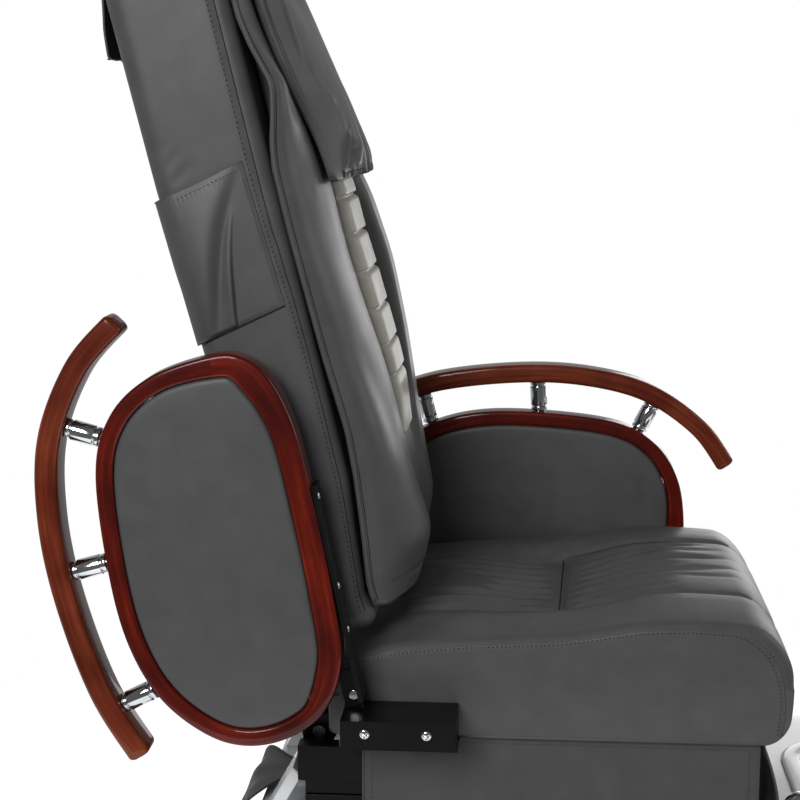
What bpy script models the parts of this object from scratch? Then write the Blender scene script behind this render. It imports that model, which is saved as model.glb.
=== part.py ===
"""Pedicure chair: white foot-spa base, sliding upholstered seat, reclining massage back, flip-up arms.

Metres, +Z up, +X is the way the sitter faces, -Y is the sitter's right. The floor is z = 0.
"""
import math

import bmesh
import bpy
from mathutils import Matrix, Vector

# Clearances
GAP = 0.0003
RUN_GAP = 0.0006
PIN_GAP = 0.0004

# Base
BASE_REAR_X = -0.600
BASE_LENGTH = 1.20
BASE_WIDTH = 0.67
BASE_WALL = 0.006
BASE_EDGE = 0.012
DECK_Z = 0.325
BASE_REAR_RADIUS = 0.05
BASE_FRONT_RADIUS = 0.20
PLATE_T = 0.004
CHASSIS_TUBE = 0.035
CHASSIS_Y = 0.18
CHASSIS_BASIN_GAP = 0.05
WELD_STEP = 0.002

# Foot basin and what stands in it
BASIN_FRONT_MARGIN = 0.066
BASIN_LENGTH = 0.388
BASIN_WIDTH = 0.392
BASIN_DEPTH = 0.215
BASIN_WALL = 0.006
BASIN_RADIUS = 0.07
LIP_WIDTH = 0.022
LIP_T = 0.005
STRAINER_R = 0.032
STRAINER_T = 0.006
JET_R = 0.026
JET_T = 0.012
JET_Z = 0.19
JET_Y = 0.085
REST_AHEAD = 0.080
REST_TUBE_R = 0.026
REST_STEM_R = 0.017
REST_TUBE_TOP = 0.25
REST_PAD_Z = 0.335
REST_PAD_SIZE = (0.14, 0.20, 0.045)
REST_ROUND = 0.012

# Pump, control box, tap
PUMP_X = -0.05
PUMP_R = 0.045
PUMP_LENGTH = 0.15
PUMP_FOOT = 0.02
BOX_X = -0.36
BOX_SIZE = (0.20, 0.16, 0.09)
BOX_EDGE = 0.004
TAP_EDGE = 0.047
KNOB_X = 0.086
KNOB_R = 0.024
KNOB_TOP = 0.451
TAP_R = 0.021
TAP_FLANGE_R = 0.029
TAP_FLANGE_T = 0.006
TAP_CONE_T = 0.010
TAP_BODY_TOP = 0.408
SPOUT_R = 0.011
SPOUT_RISE = 0.09
SPOUT_REACH = 0.15
SPOUT_DROP = 0.03

# Seat stand, slides and carriage
STAND_INSET = 0.005
STAND_BAR = 0.030
STAND_REAR_X = -0.514
STAND_REAR_LEG = 0.067
STAND_FRONT_X = 0.036
STAND_FRONT_LEG = 0.030
STAND_TOP = 0.405
RAIL_H = 0.020
RAIL_W = 0.024
RUNNER_INSET = 0.015
RUNNER_W = 0.025
RUNNER_TOP = 0.470
RUNNER_REAR_X = -0.522
RUNNER_FRONT_X = 0.040
CROSS_BAR = 0.025
PAN_T = 0.020
PAN_REAR_X = -0.470

# Seat cushion, skirts
SEAT_REAR_X = -0.482
SEAT_FRONT_X = 0.073
SEAT_HALF_WIDTH = 0.250
SEAT_REAR_TOP = 0.592
SEAT_MID_TOP = 0.622
SEAT_HUMP_TOP = 0.652
SEAT_SEAM_X = -0.190
SEAT_ROUND = 0.030
SEAT_CROWN = 0.010
SEAT_DRAW_IN = 0.006
SEAT_REAR_RAMP = 0.16
SEAT_HUMP_RAMP = 0.15
SEAT_HUMP_LEAD = 0.02
SEAT_ROLL = 0.10
SEAT_ROLL_LEAD = 0.075
SEAT_ROLL_DROP = 0.030
SEAT_SEAM_RAMP = 0.03
SEAM_DEPTH = 0.008
SEAM_WIDTH = 0.014
LONG_SEAM_Y = 0.115
SKIRT_BOTTOM = 0.352
SKIRT_T = 0.004
SKIRT_FOLD = 0.006
SKIRT_FOLDS = 4
SKIRT_REAR_X = -0.440
SKIRT_TOP_GAP = 0.001
FRONT_SKIRT_BULGE = 0.018

# Rear of the base: slanted fairings and the hanging flap
FAIRING_Y = (0.13, 0.20)
FAIRING_T = 0.012
FAIRING_TOP = (-0.522, 0.428)
FAIRING_EDGE = 0.008
FAIRING_FOOT_W = 0.018
FLAP_SIDE_GAP = 0.004
FLAP_T = 0.004
FLAP_BOTTOM = 0.255
FLAP_HANG_X = 0.040
FLAP_LIFT = 0.016
FLAP_FOLD = 0.012

# Back, in its own tilted frame: s up along the back, p forward, from the recline pivot
RECLINE_X = -0.500
RECLINE_Z = 0.475
RECLINE_TILT = math.radians(13.5)
RECLINE_PIN_R = 0.008
EAR_Y = 0.190
EAR_T = 0.010
EAR_R = 0.022
BACK_S = (0.128, 0.990)
BACK_P = (-0.012, 0.119)
BACK_INSET = 0.005
BACK_ROUND = 0.022
BACK_CROWN = 0.006
CAVITY_HALF_WIDTH = 0.180
CAVITY_TOP = 0.900
CAVITY_REAR_WALL = 0.018
UPRIGHT_Y = 0.155
UPRIGHT_W = 0.025
UPRIGHT_TOP = 0.880
LEVER_LENGTH = 0.090
LEVER_BACK_ANGLE = math.radians(19.0)
LEVER_T = 0.012
LEVER_PIN_R = 0.007
OVERLAY_S = (0.150, 0.930)
OVERLAY_HALF_WIDTH = 0.236
OVERLAY_EDGE = 0.018
OVERLAY_ROUND = 0.010
OVERLAY_FOOT_RAMP = 0.06
OVERLAY_CENTRE = 0.056
OVERLAY_BOLSTER = 0.071
OVERLAY_HEAD = 0.036
HEAD_S = 0.655
HEAD_RAMP = 0.05
CHANNEL_HALF_WIDTH = 0.075
CHANNEL_RAMP = 0.04
CHANNEL_LEAD = 0.03
CREST_IN = 0.02
PLEAT_PITCH = 0.048
PLEAT_DEPTH = 0.006
PLEAT_LOW_S = 0.44
PLEAT_RAMP = 0.02
PILLOW_S = (0.665, 0.935)
PILLOW_HALF_WIDTH = 0.150
PILLOW_T = 0.058
PILLOW_CROWN = 0.016
PILLOW_GATHER = 0.004
PILLOW_GATHERS = 9
PILLOW_ROUND = 0.020
PILLOW_FLAP_T = 0.005
PILLOW_FLAP_HALF_WIDTH = 0.115
PILLOW_FLAP_LOW_S = 0.845

# Massage drive inside the back
SCREW_R = 0.007
MASSAGE_S = 0.36
MASSAGE_H = 0.075
MASSAGE_PLATE = 0.012
NUT_HALF = 0.018
ROLLER_P = 0.099
ROLLER_R = 0.017
ROLLER_W = 0.024
ROLLER_Y = (0.045, 0.105)
AXLE_R = 0.006
AXLE_HALF = 0.120
LUG_Y = 0.075
LUG_T = 0.008

# Recline actuator under the seat
ROD_R = 0.010
ROD_OVERLAP = 0.010
ROD_LENGTH = 0.23
CLEVIS_LENGTH = 0.040
CLEVIS_HALF = 0.022
CLEVIS_SLOT_RISE = 0.008
ACT_TUBE_R = 0.022
ACT_TUBE_REAR_X = -0.418
ACT_TUBE_LENGTH = 0.26
ACT_MOTOR_SIZE = (0.085, 0.055, 0.048)
ACT_BORE_END = 0.020

# Arms, in the arm-down frame: u forward, v up, from the arm pivot
ARM_PIVOT_X = -0.447
ARM_PIVOT_Z = 0.553
ARM_FLIP = math.radians(102.0)
ARM_CLEAR = 0.030
RIM_T = 0.036
RIM_W = 0.023
PAD_T = 0.026
PAD_CROWN = 0.007
PAD_STEPS = ((0.005, 0.45), (0.012, 0.35), (0.030, 0.20))
RAIL_DEPTH = 0.044
RAIL_BAR_W = 0.027
EDGE_ROUND = 0.004
STANDOFF_R = 0.0115
STANDOFF_COLLAR_R = 0.0140
STANDOFF_U = (0.060, 0.220, 0.368)
RIM_UPPER_V = 0.10
STRAP_U = (0.000, 0.265)
STRAP_T = 0.005
ARM_EAR_T = 0.006
PIVOT_R = 0.006
ARM_EYE_R = 0.0132
BRACKET_EYE_R = 0.0144
BRACKET_X = (-0.459, -0.323)
BRACKET_PROUD = 0.009
BRACKET_LEG_GAP = 0.001
BRACKET_LEG_T = 0.009
BRACKET_TONGUE_T = 0.0135
BRACKET_BLOCK_H = 0.032
BRACKET_EAR_T = 0.008
BRACKET_GAP = 0.002
PIVOT_HEAD_R = 0.011
PIVOT_HEAD_T = 0.004

# Rim outline and rail line of the right arm, lowered, as (u, v) turning points
RIM_POINTS = (
    (0.438, 0.072), (0.428, 0.146), (0.392, 0.203), (0.325, 0.236), (0.192, 0.249), (0.102, 0.242),
    (0.034, 0.214), (-0.018, 0.160), (-0.030, 0.098), (-0.006, 0.036), (0.052, 0.000), (0.141, -0.008),
    (0.250, -0.009), (0.340, -0.006), (0.400, 0.010), (0.430, 0.036))
RAIL_POINTS = (
    (0.498, 0.170), (0.455, 0.228), (0.380, 0.279), (0.290, 0.302), (0.190, 0.306), (0.070, 0.292),
    (-0.018, 0.262))

# Worked-out sizes
BASE_FRONT_X = BASE_REAR_X + BASE_LENGTH
BASIN_X = BASE_FRONT_X - BASIN_FRONT_MARGIN - BASIN_LENGTH / 2
TAP_Y = TAP_EDGE - BASE_WIDTH / 2
REST_X = BASIN_X + REST_AHEAD
RUNNER_Y = SEAT_HALF_WIDTH - RUNNER_INSET
STAND_Y = RUNNER_Y - STAND_INSET
BACK_HALF_WIDTH = SEAT_HALF_WIDTH - BACK_INSET
ARM_INNER_Y = SEAT_HALF_WIDTH + ARM_CLEAR
BRACKET_LEG_Y = SEAT_HALF_WIDTH + BRACKET_LEG_GAP
BRACKET_OUT_Y = ARM_INNER_Y + RIM_T + BRACKET_PROUD
FLAP_HALF_WIDTH = FAIRING_Y[0] - FLAP_SIDE_GAP
RAIL_TOP = STAND_TOP + GAP + RAIL_H
RUNNER_BOTTOM = RAIL_TOP + GAP
PAN_BOTTOM = RUNNER_TOP + GAP
PAN_TOP = PAN_BOTTOM + PAN_T
SEAT_BOTTOM = PAN_TOP + GAP
BASIN_TOP = DECK_Z + GAP
BASIN_FLOOR = BASIN_TOP - BASIN_DEPTH
OVERLAY_P = BACK_P[1] + GAP
LEVER_PIN = Vector((
    RECLINE_X - LEVER_LENGTH * math.sin(LEVER_BACK_ANGLE), 0.0,
    RECLINE_Z - LEVER_LENGTH * math.cos(LEVER_BACK_ANGLE)))
STRAP_TOP_V = min(v for u, v in RIM_POINTS) - GAP
STRAP_BOTTOM_V = STRAP_TOP_V - STRAP_T
BRACKET_TOP = ARM_PIVOT_Z + STRAP_BOTTOM_V - BRACKET_GAP
ARM_EAR_Y = ARM_INNER_Y - GAP - ARM_EAR_T
BRACKET_EAR_Y = ARM_EAR_Y - RUN_GAP - BRACKET_EAR_T


# Scene helpers

def clear_scene():
    for old in list(bpy.data.objects):
        bpy.data.objects.remove(old, do_unlink=True)


def new_collection(name):
    group = bpy.data.collections.new(name)
    bpy.context.scene.collection.children.link(group)
    return group


def new_material(name, colour, roughness, metallic=0.0):
    made = bpy.data.materials.new(name)
    made.use_nodes = True
    shader = made.node_tree.nodes["Principled BSDF"]
    shader.inputs["Base Color"].default_value = (*colour, 1.0)
    shader.inputs["Roughness"].default_value = roughness
    shader.inputs["Metallic"].default_value = metallic
    return made


def new_axis(name, place, turn=0.0, parent=None):
    """Make an empty on a joint axis, turned about Y."""
    axis = bpy.data.objects.new(name, None)
    axis.empty_display_size = 0.05
    axis.location = place
    axis.rotation_euler = (0.0, turn, 0.0)
    axis.parent = parent
    PARTS.objects.link(axis)
    return axis


def add_part(name, mesh, material, axis=None, world=True):
    """Add a sub-part; a world-built one keeps its place under an unturned axis."""
    part = bpy.data.objects.new(name, mesh)
    mesh.materials.append(material)
    PARTS.objects.link(part)
    hang(part, axis, world)
    return part


def hang(part, axis, world):
    if axis is None:
        return
    part.parent = axis
    if world:
        part.matrix_parent_inverse = Matrix.Translation(-axis.location)


def add_tool(part, mesh, operation):
    """Join a solid to a part, or cut it out, with a hidden tool object."""
    tool = bpy.data.objects.new(part.name + "_tool", mesh)
    TOOLS.objects.link(tool)
    tool.hide_render = True
    tool.display_type = "WIRE"
    tool.parent = part.parent
    tool.matrix_parent_inverse = part.matrix_parent_inverse
    step = part.modifiers.new(operation.title(), "BOOLEAN")
    step.operation = operation
    step.solver = "EXACT"
    step.object = tool


def join_all(part, meshes):
    for mesh in meshes:
        add_tool(part, mesh, "UNION")


def cut_all(part, meshes):
    for mesh in meshes:
        add_tool(part, mesh, "DIFFERENCE")


def round_edges(part, width, segments=2):
    step = part.modifiers.new("Bevel", "BEVEL")
    step.width = width
    step.segments = segments
    step.limit_method = "ANGLE"
    step.angle_limit = math.radians(40.0)


# Mesh makers

def to_mesh(name, bm):
    mesh = bpy.data.meshes.new(name)
    bmesh.ops.recalc_face_normals(bm, faces=bm.faces)
    bm.to_mesh(mesh)
    bm.free()
    return mesh


def box(low, high):
    bm = bmesh.new()
    bmesh.ops.create_cube(bm, size=1.0)
    low, high = Vector(low), Vector(high)
    bmesh.ops.scale(bm, vec=high - low, verts=bm.verts)
    bmesh.ops.translate(bm, vec=(low + high) / 2, verts=bm.verts)
    return to_mesh("box", bm)


def rod(start, end, radius, sides=20, end_radius=None):
    """A cylinder, or a cone where the far end has a radius of its own."""
    start, end = Vector(start), Vector(end)
    bm = bmesh.new()
    far = radius if end_radius is None else end_radius
    bmesh.ops.create_cone(bm, cap_ends=True, segments=sides, radius1=radius, radius2=far,
                          depth=(end - start).length)
    turn = Vector((0, 0, 1)).rotation_difference(end - start).to_matrix().to_4x4()
    bmesh.ops.transform(bm, matrix=Matrix.Translation((start + end) / 2) @ turn, verts=bm.verts)
    return to_mesh("rod", bm)


def slab(loops, low, high, upright=False, round_by=0.0):
    """A flat outline, with holes where loops nest, filled along Z, or along Y if upright."""
    curve = bpy.data.curves.new("outline", "CURVE")
    curve.dimensions = "2D"
    curve.fill_mode = "BOTH"
    curve.extrude = (high - low) / 2 - round_by
    curve.bevel_depth = round_by
    curve.offset = -round_by
    curve.bevel_resolution = 1
    for loop in loops:
        spline = curve.splines.new("POLY")
        spline.points.add(len(loop) - 1)
        for point, place in zip(spline.points, loop):
            point.co = (place[0], place[1], 0.0, 1.0)
        spline.use_cyclic_u = True
    holder = bpy.data.objects.new("outline", curve)
    bm = bmesh.new()
    bm.from_mesh(bpy.data.meshes.new_from_object(holder))
    bpy.data.objects.remove(holder)
    bmesh.ops.remove_doubles(bm, verts=bm.verts, dist=0.00001)
    turn = Matrix.Rotation(math.pi / 2, 4, "X") if upright else Matrix.Identity(4)
    middle = (low + high) / 2
    shift = Vector((0, middle, 0)) if upright else Vector((0, 0, middle))
    bmesh.ops.transform(bm, matrix=Matrix.Translation(shift) @ turn, verts=bm.verts)
    return to_mesh("slab", bm)


def tube(points, radius, sides=4):
    """A bent round bar through the points."""
    curve = bpy.data.curves.new("path", "CURVE")
    curve.dimensions = "3D"
    curve.bevel_depth = radius
    curve.bevel_resolution = sides
    curve.use_fill_caps = True
    spline = curve.splines.new("POLY")
    spline.points.add(len(points) - 1)
    for point, place in zip(spline.points, points):
        point.co = (*place, 1.0)
    holder = bpy.data.objects.new("path", curve)
    bm = bmesh.new()
    bm.from_mesh(bpy.data.meshes.new_from_object(holder))
    bpy.data.objects.remove(holder)
    bmesh.ops.remove_doubles(bm, verts=bm.verts, dist=0.00001)
    return to_mesh("tube", bm)


def smooth(points, steps, closed):
    """Points on the Catmull-Rom curve through the given points."""
    count = len(points)
    spans = count if closed else count - 1
    made = []
    for span in range(spans):
        if closed:
            near = [Vector(points[(span + k) % count]) for k in (-1, 0, 1, 2)]
        else:
            near = [Vector(points[min(max(span + k, 0), count - 1)]) for k in (-1, 0, 1, 2)]
        for step in range(steps):
            t = step / steps
            bend = 2 * near[0] - 5 * near[1] + 4 * near[2] - near[3]
            twist = 3 * (near[1] - near[2]) + near[3] - near[0]
            made.append(near[1] + t * (near[2] - near[0]) / 2 + t * t * bend / 2 + t ** 3 * twist / 2)
    if not closed:
        made.append(Vector(points[-1]))
    return made


def ribbon(line, width):
    """Closed outline of a bar of even width along a line of points."""
    sides = []
    for index, place in enumerate(line):
        ahead = line[min(index + 1, len(line) - 1)] - line[max(index - 1, 0)]
        normal = Vector((-ahead.y, ahead.x)).normalized()
        sides.append((place + normal * width / 2, place - normal * width / 2))
    return [left for left, right in sides] + [right for left, right in reversed(sides)]


def inset(loop, distance):
    """A closed outline moved inwards by a distance."""
    count = len(loop)
    turn = sum(loop[i - 1].x * loop[i].y - loop[i].x * loop[i - 1].y for i in range(count))
    side = 1.0 if turn > 0 else -1.0
    made = []
    for index, place in enumerate(loop):
        ahead = loop[(index + 1) % count] - loop[index - 1]
        made.append(place + Vector((-ahead.y, ahead.x)).normalized() * distance * side)
    return made


def rounded_rectangle(x_low, x_high, half_width, low_radius, high_radius, steps=6):
    """Outline with one corner radius at the low-X end and one at the high-X end."""
    corners = ((x_high, 1, high_radius, 0), (x_low, 1, low_radius, 1),
               (x_low, -1, low_radius, 2), (x_high, -1, high_radius, 3))
    made = []
    for x, side, radius, quarter in corners:
        centre_x = x - radius if x == x_high else x + radius
        centre_y = side * (half_width - radius)
        for step in range(steps + 1):
            angle = (quarter + step / steps) * math.pi / 2
            made.append(Vector((centre_x + radius * math.cos(angle), centre_y + radius * math.sin(angle))))
    return made


def soft_block(half, cuts, round_by, shape, even_rows=False):
    """A cushion: a gridded block, rows drawn to the edges or even, rounded, then shaped by a formula."""
    bm = bmesh.new()
    bmesh.ops.create_cube(bm, size=2.0)
    for axis in range(3):
        along = [e for e in bm.edges if abs(e.verts[0].co[axis] - e.verts[1].co[axis]) > 0.5]
        bmesh.ops.subdivide_edges(bm, edges=along, cuts=cuts[axis], use_grid_fill=True)
    half = Vector(half)
    for vert in bm.verts:
        place = Vector([math.sin(vert.co[k] * math.pi / 2) * half[k] for k in range(3)])
        if even_rows:
            place.z = vert.co.z * half.z
        core = Vector([min(max(place[k], round_by - half[k]), half[k] - round_by) for k in range(3)])
        out = place - core
        if out.length > 1e-9:
            place = core + out.normalized() * round_by
        vert.co = shape(place)
    return to_mesh("cushion", bm)


def cloth(columns, rows, place, thickness):
    """A hung cloth: a grid laid by a formula of two shares from 0 to 1, then given its thickness."""
    bm = bmesh.new()
    bmesh.ops.create_grid(bm, x_segments=columns, y_segments=rows, size=0.5)
    for vert in bm.verts:
        vert.co = place(vert.co.x + 0.5, vert.co.y + 0.5)
    faces = list(bm.faces)
    bmesh.ops.recalc_face_normals(bm, faces=faces)
    bmesh.ops.solidify(bm, geom=faces, thickness=thickness)
    return to_mesh("cloth", bm)


def dip(distance, width):
    """Depth share of a sewn-in groove at a distance from its line."""
    return math.exp(-(distance / width) ** 2)


def ease(value):
    """Smooth step from 0 to 1."""
    value = min(max(value, 0.0), 1.0)
    return value * value * (3 - 2 * value)


def turned(profile, place, sides=24):
    """A turned solid: a half profile of (radius, height) spun about the vertical through a place."""
    bm = bmesh.new()
    verts = [bm.verts.new((radius, 0.0, height)) for radius, height in profile]
    edges = [bm.edges.new(pair) for pair in zip(verts, verts[1:])]
    bmesh.ops.spin(bm, geom=verts + edges, axis=(0, 0, 1), cent=(0, 0, 0), angle=2 * math.pi, steps=sides)
    bmesh.ops.remove_doubles(bm, verts=bm.verts, dist=0.00001)
    bmesh.ops.translate(bm, vec=place, verts=bm.verts)
    return to_mesh("turned", bm)


def mirrored_boxes(x_range, y_range, z_range):
    """The same box on both sides of the chair."""
    made = []
    for side in (-1, 1):
        low_y, high_y = sorted((side * y_range[0], side * y_range[1]))
        made.append(box((x_range[0], low_y, z_range[0]), (x_range[1], high_y, z_range[1])))
    return made


# Base

def base_outline(distance=0.0):
    whole = rounded_rectangle(BASE_REAR_X, BASE_FRONT_X, BASE_WIDTH / 2, BASE_REAR_RADIUS,
                              BASE_FRONT_RADIUS, 8)
    return inset(whole, distance) if distance else whole


def basin_outline(grow):
    half = BASIN_LENGTH / 2 + grow
    radius = BASIN_RADIUS + grow
    return rounded_rectangle(BASIN_X - half, BASIN_X + half, BASIN_WIDTH / 2 + grow, radius, radius)


def build_shell():
    block = slab([base_outline()], -2 * BASE_EDGE, DECK_Z, round_by=BASE_EDGE)
    shell = add_part("base_shell", block, ACRYLIC)
    cut_all(shell, [
        box((-BASE_LENGTH, -BASE_WIDTH, -4 * BASE_EDGE), (BASE_LENGTH, BASE_WIDTH, 0.0)),
        slab([base_outline(BASE_WALL)], -3 * BASE_EDGE, DECK_Z - BASE_WALL),
        slab([basin_outline(GAP)], DECK_Z - 2 * BASE_WALL, DECK_Z + BASE_WALL)])
    add_part("floor_plate", slab([base_outline(BASE_WALL + GAP)], 0.0, PLATE_T), STEEL)


def build_chassis():
    low = PLATE_T + GAP
    top = DECK_Z - BASE_WALL - GAP
    rear = BASE_REAR_X + BASE_REAR_RADIUS
    front = BASIN_X - BASIN_LENGTH / 2 - CHASSIS_BASIN_GAP
    inner = CHASSIS_Y - CHASSIS_TUBE
    post = CHASSIS_TUBE - 2 * WELD_STEP
    bars = mirrored_boxes((rear, front), (inner, CHASSIS_Y), (low, low + CHASSIS_TUBE))
    for x in (rear + WELD_STEP, (rear + front - post) / 2, front - CHASSIS_TUBE + WELD_STEP):
        bars += mirrored_boxes((x, x + post), (inner + WELD_STEP, CHASSIS_Y - WELD_STEP),
                               (low + CHASSIS_TUBE / 2, top))
        bars.append(box((x + WELD_STEP, -CHASSIS_Y + CHASSIS_TUBE / 2, top - CHASSIS_TUBE),
                        (x + post - WELD_STEP, CHASSIS_Y - CHASSIS_TUBE / 2, top - WELD_STEP)))
    frame = add_part("base_frame", bars[0], STEEL)
    join_all(frame, bars[1:])


def build_basin():
    bowl = add_part("basin_bowl", slab([basin_outline(0.0)], BASIN_FLOOR, BASIN_TOP + LIP_T / 2), ACRYLIC)
    join_all(bowl, [slab([basin_outline(LIP_WIDTH)], BASIN_TOP, BASIN_TOP + LIP_T)])
    cut_all(bowl, [slab([basin_outline(-BASIN_WALL)], BASIN_FLOOR + BASIN_WALL, BASIN_TOP + 2 * LIP_T)])
    floor = BASIN_FLOOR + BASIN_WALL + GAP
    drain_x = BASIN_X - BASIN_LENGTH / 4
    drain = rod((drain_x, 0, floor), (drain_x, 0, floor + STRAINER_T), STRAINER_R)
    add_part("drain_strainer", drain, CHROME)
    wall = BASIN_X - BASIN_LENGTH / 2 + BASIN_WALL + GAP
    for name, side in (("right", -1), ("left", 1)):
        jet = rod((wall, side * JET_Y, JET_Z), (wall + JET_T, side * JET_Y, JET_Z), JET_R, 20, JET_R * 0.8)
        add_part("jet_nozzle_" + name, jet, WHITE_PLASTIC)
    post = rod((REST_X, 0, floor), (REST_X, 0, REST_TUBE_TOP), REST_TUBE_R)
    column = add_part("footrest_column", post, CHROME)
    bore_floor = floor + REST_STEM_R
    cut_all(column, [rod((REST_X, 0, bore_floor), (REST_X, 0, REST_TUBE_TOP + REST_TUBE_R),
                         REST_STEM_R + RUN_GAP)])
    lift = new_axis("footrest_axis", (REST_X, 0, REST_TUBE_TOP))
    stem = rod((REST_X, 0, bore_floor + GAP), (REST_X, 0, REST_PAD_Z), REST_STEM_R)
    add_part("footrest_stem", stem, CHROME, lift)
    centre = Vector((REST_X, 0, REST_PAD_Z + GAP + REST_PAD_SIZE[2] / 2))
    half = [size / 2 for size in REST_PAD_SIZE]
    pad = soft_block(half, (5, 6, 2), REST_ROUND, lambda place: place + centre)
    add_part("footrest_pad", pad, LEATHER, lift)


def build_services():
    floor = PLATE_T + GAP
    centre = floor + PUMP_FOOT + PUMP_R
    ends = [(PUMP_X + k * PUMP_LENGTH / 2, 0, centre) for k in (-1, 1)]
    pump = add_part("pump_motor", rod(ends[0], ends[1], PUMP_R), BLACK_METAL)
    half_foot = PUMP_LENGTH / 3
    foot = box((PUMP_X - half_foot, -PUMP_R * 0.7, floor), (PUMP_X + half_foot, PUMP_R * 0.7, centre))
    join_all(pump, [foot])
    length, width, height = BOX_SIZE
    control = box((BOX_X - length / 2, -width / 2, floor), (BOX_X + length / 2, width / 2, floor + height))
    round_edges(add_part("control_box", control, BLACK_METAL), BOX_EDGE)


def build_tap():
    low = DECK_Z + GAP
    place = Vector((KNOB_X, TAP_Y, 0))
    body = [(0, low), (TAP_FLANGE_R, low), (TAP_FLANGE_R, low + TAP_FLANGE_T), (TAP_R, low + TAP_CONE_T),
            (TAP_R, TAP_BODY_TOP), (0, TAP_BODY_TOP)]
    add_part("tap_body", turned(body, place), CHROME)
    foot = TAP_BODY_TOP + GAP
    rise = KNOB_TOP - foot
    dome = [(0, foot), (KNOB_R * 0.9, foot), (KNOB_R, foot + rise * 0.12), (KNOB_R, foot + rise * 0.40)]
    dome += [(KNOB_R * math.cos(t * math.pi / 12), foot + rise * (0.40 + 0.60 * math.sin(t * math.pi / 12)))
             for t in range(1, 6)]
    dome.append((0, KNOB_TOP))
    add_part("tap_knob", turned(dome, place), CHROME, new_axis("tap_knob_axis", (KNOB_X, TAP_Y, foot)))
    top = low + SPOUT_RISE
    route = [(0, low + SPOUT_R / 2), (0, low + SPOUT_RISE * 0.6), (SPOUT_REACH * 0.10, top - SPOUT_R),
             (SPOUT_REACH * 0.4, top), (SPOUT_REACH * 0.85, top - SPOUT_R), (SPOUT_REACH, top - SPOUT_DROP)]
    path = smooth([(BASIN_X, TAP_Y + reach, z) for reach, z in route], 3, False)
    axis = new_axis("tap_spout_axis", (BASIN_X, TAP_Y, low))
    spout = add_part("tap_spout", tube(path, SPOUT_R, 3), CHROME, axis)
    join_all(spout, [rod((BASIN_X, TAP_Y, low), (BASIN_X, TAP_Y, low + SPOUT_R), TAP_R)])


def build_stand():
    low = DECK_Z + GAP
    inner = STAND_Y - STAND_BAR
    bars = mirrored_boxes((STAND_REAR_X, STAND_FRONT_X), (inner, STAND_Y),
                          (STAND_TOP - STAND_BAR, STAND_TOP))
    ends = ((STAND_REAR_X + WELD_STEP, STAND_REAR_X + STAND_REAR_LEG),
            (STAND_FRONT_X - STAND_FRONT_LEG, STAND_FRONT_X - WELD_STEP))
    for x_low, x_high in ends:
        bars += mirrored_boxes((x_low, x_high), (inner + WELD_STEP, STAND_Y - WELD_STEP),
                               (low, STAND_TOP - WELD_STEP))
        cross = x_low + STAND_FRONT_LEG - 2 * WELD_STEP
        bars.append(box((x_low + WELD_STEP, -STAND_Y + STAND_BAR / 2, low + WELD_STEP),
                        (cross, STAND_Y - STAND_BAR / 2, low + STAND_BAR * 0.6)))
    stand = add_part("seat_stand", bars[0], BLACK_METAL)
    join_all(stand, bars[1:])
    middle = STAND_Y - STAND_BAR / 2
    rails = mirrored_boxes((STAND_REAR_X, STAND_FRONT_X), (middle - RAIL_W / 2, middle + RAIL_W / 2),
                           (STAND_TOP + GAP, RAIL_TOP))
    for name, rail in zip(("slide_rail_right", "slide_rail_left"), rails):
        add_part(name, rail, STEEL)


def build_rear():
    low = DECK_Z + GAP
    top_x, top_z = FAIRING_TOP
    foot_x = BASE_REAR_X + FAIRING_EDGE
    board = [Vector(p) for p in ((foot_x, low), (foot_x + FAIRING_FOOT_W, low),
                                 (top_x, top_z - FAIRING_T), (top_x - FAIRING_T, top_z))]
    for name, side in (("fairing_right", -1), ("fairing_left", 1)):
        low_y, high_y = sorted(side * y for y in FAIRING_Y)
        add_part(name, slab([board], low_y, high_y, upright=True), ACRYLIC)
    lie = DECK_Z + FLAP_T
    start_x = STAND_REAR_X + 2 * WELD_STEP - GAP
    rear = BASE_REAR_X
    line = smooth([(start_x, lie + FLAP_LIFT * 0.6), (rear + FAIRING_FOOT_W * 3, lie + FLAP_LIFT * 0.9),
                   (rear + FAIRING_FOOT_W, lie + FLAP_LIFT),
                   (rear - FLAP_HANG_X * 0.3, lie + FLAP_LIFT * 0.25),
                   (rear - FLAP_HANG_X * 0.6, lie - FLAP_LIFT * 2),
                   (rear - FLAP_HANG_X, FLAP_BOTTOM)], 4, False)

    def lay(u, v):
        along = v * (len(line) - 1)
        index = min(int(along), len(line) - 2)
        spot = line[index].lerp(line[index + 1], along - index)
        fold = 0.5 - 0.5 * math.cos(6 * math.pi * u)
        return Vector((spot.x - FLAP_FOLD * v * v * fold, (2 * u - 1) * FLAP_HALF_WIDTH, spot.y))
    add_part("rear_flap", cloth(12, 8, lay, FLAP_T), CLOTH)


# Sliding carriage: frame, pan, cushion, skirts, brackets, actuator

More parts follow.
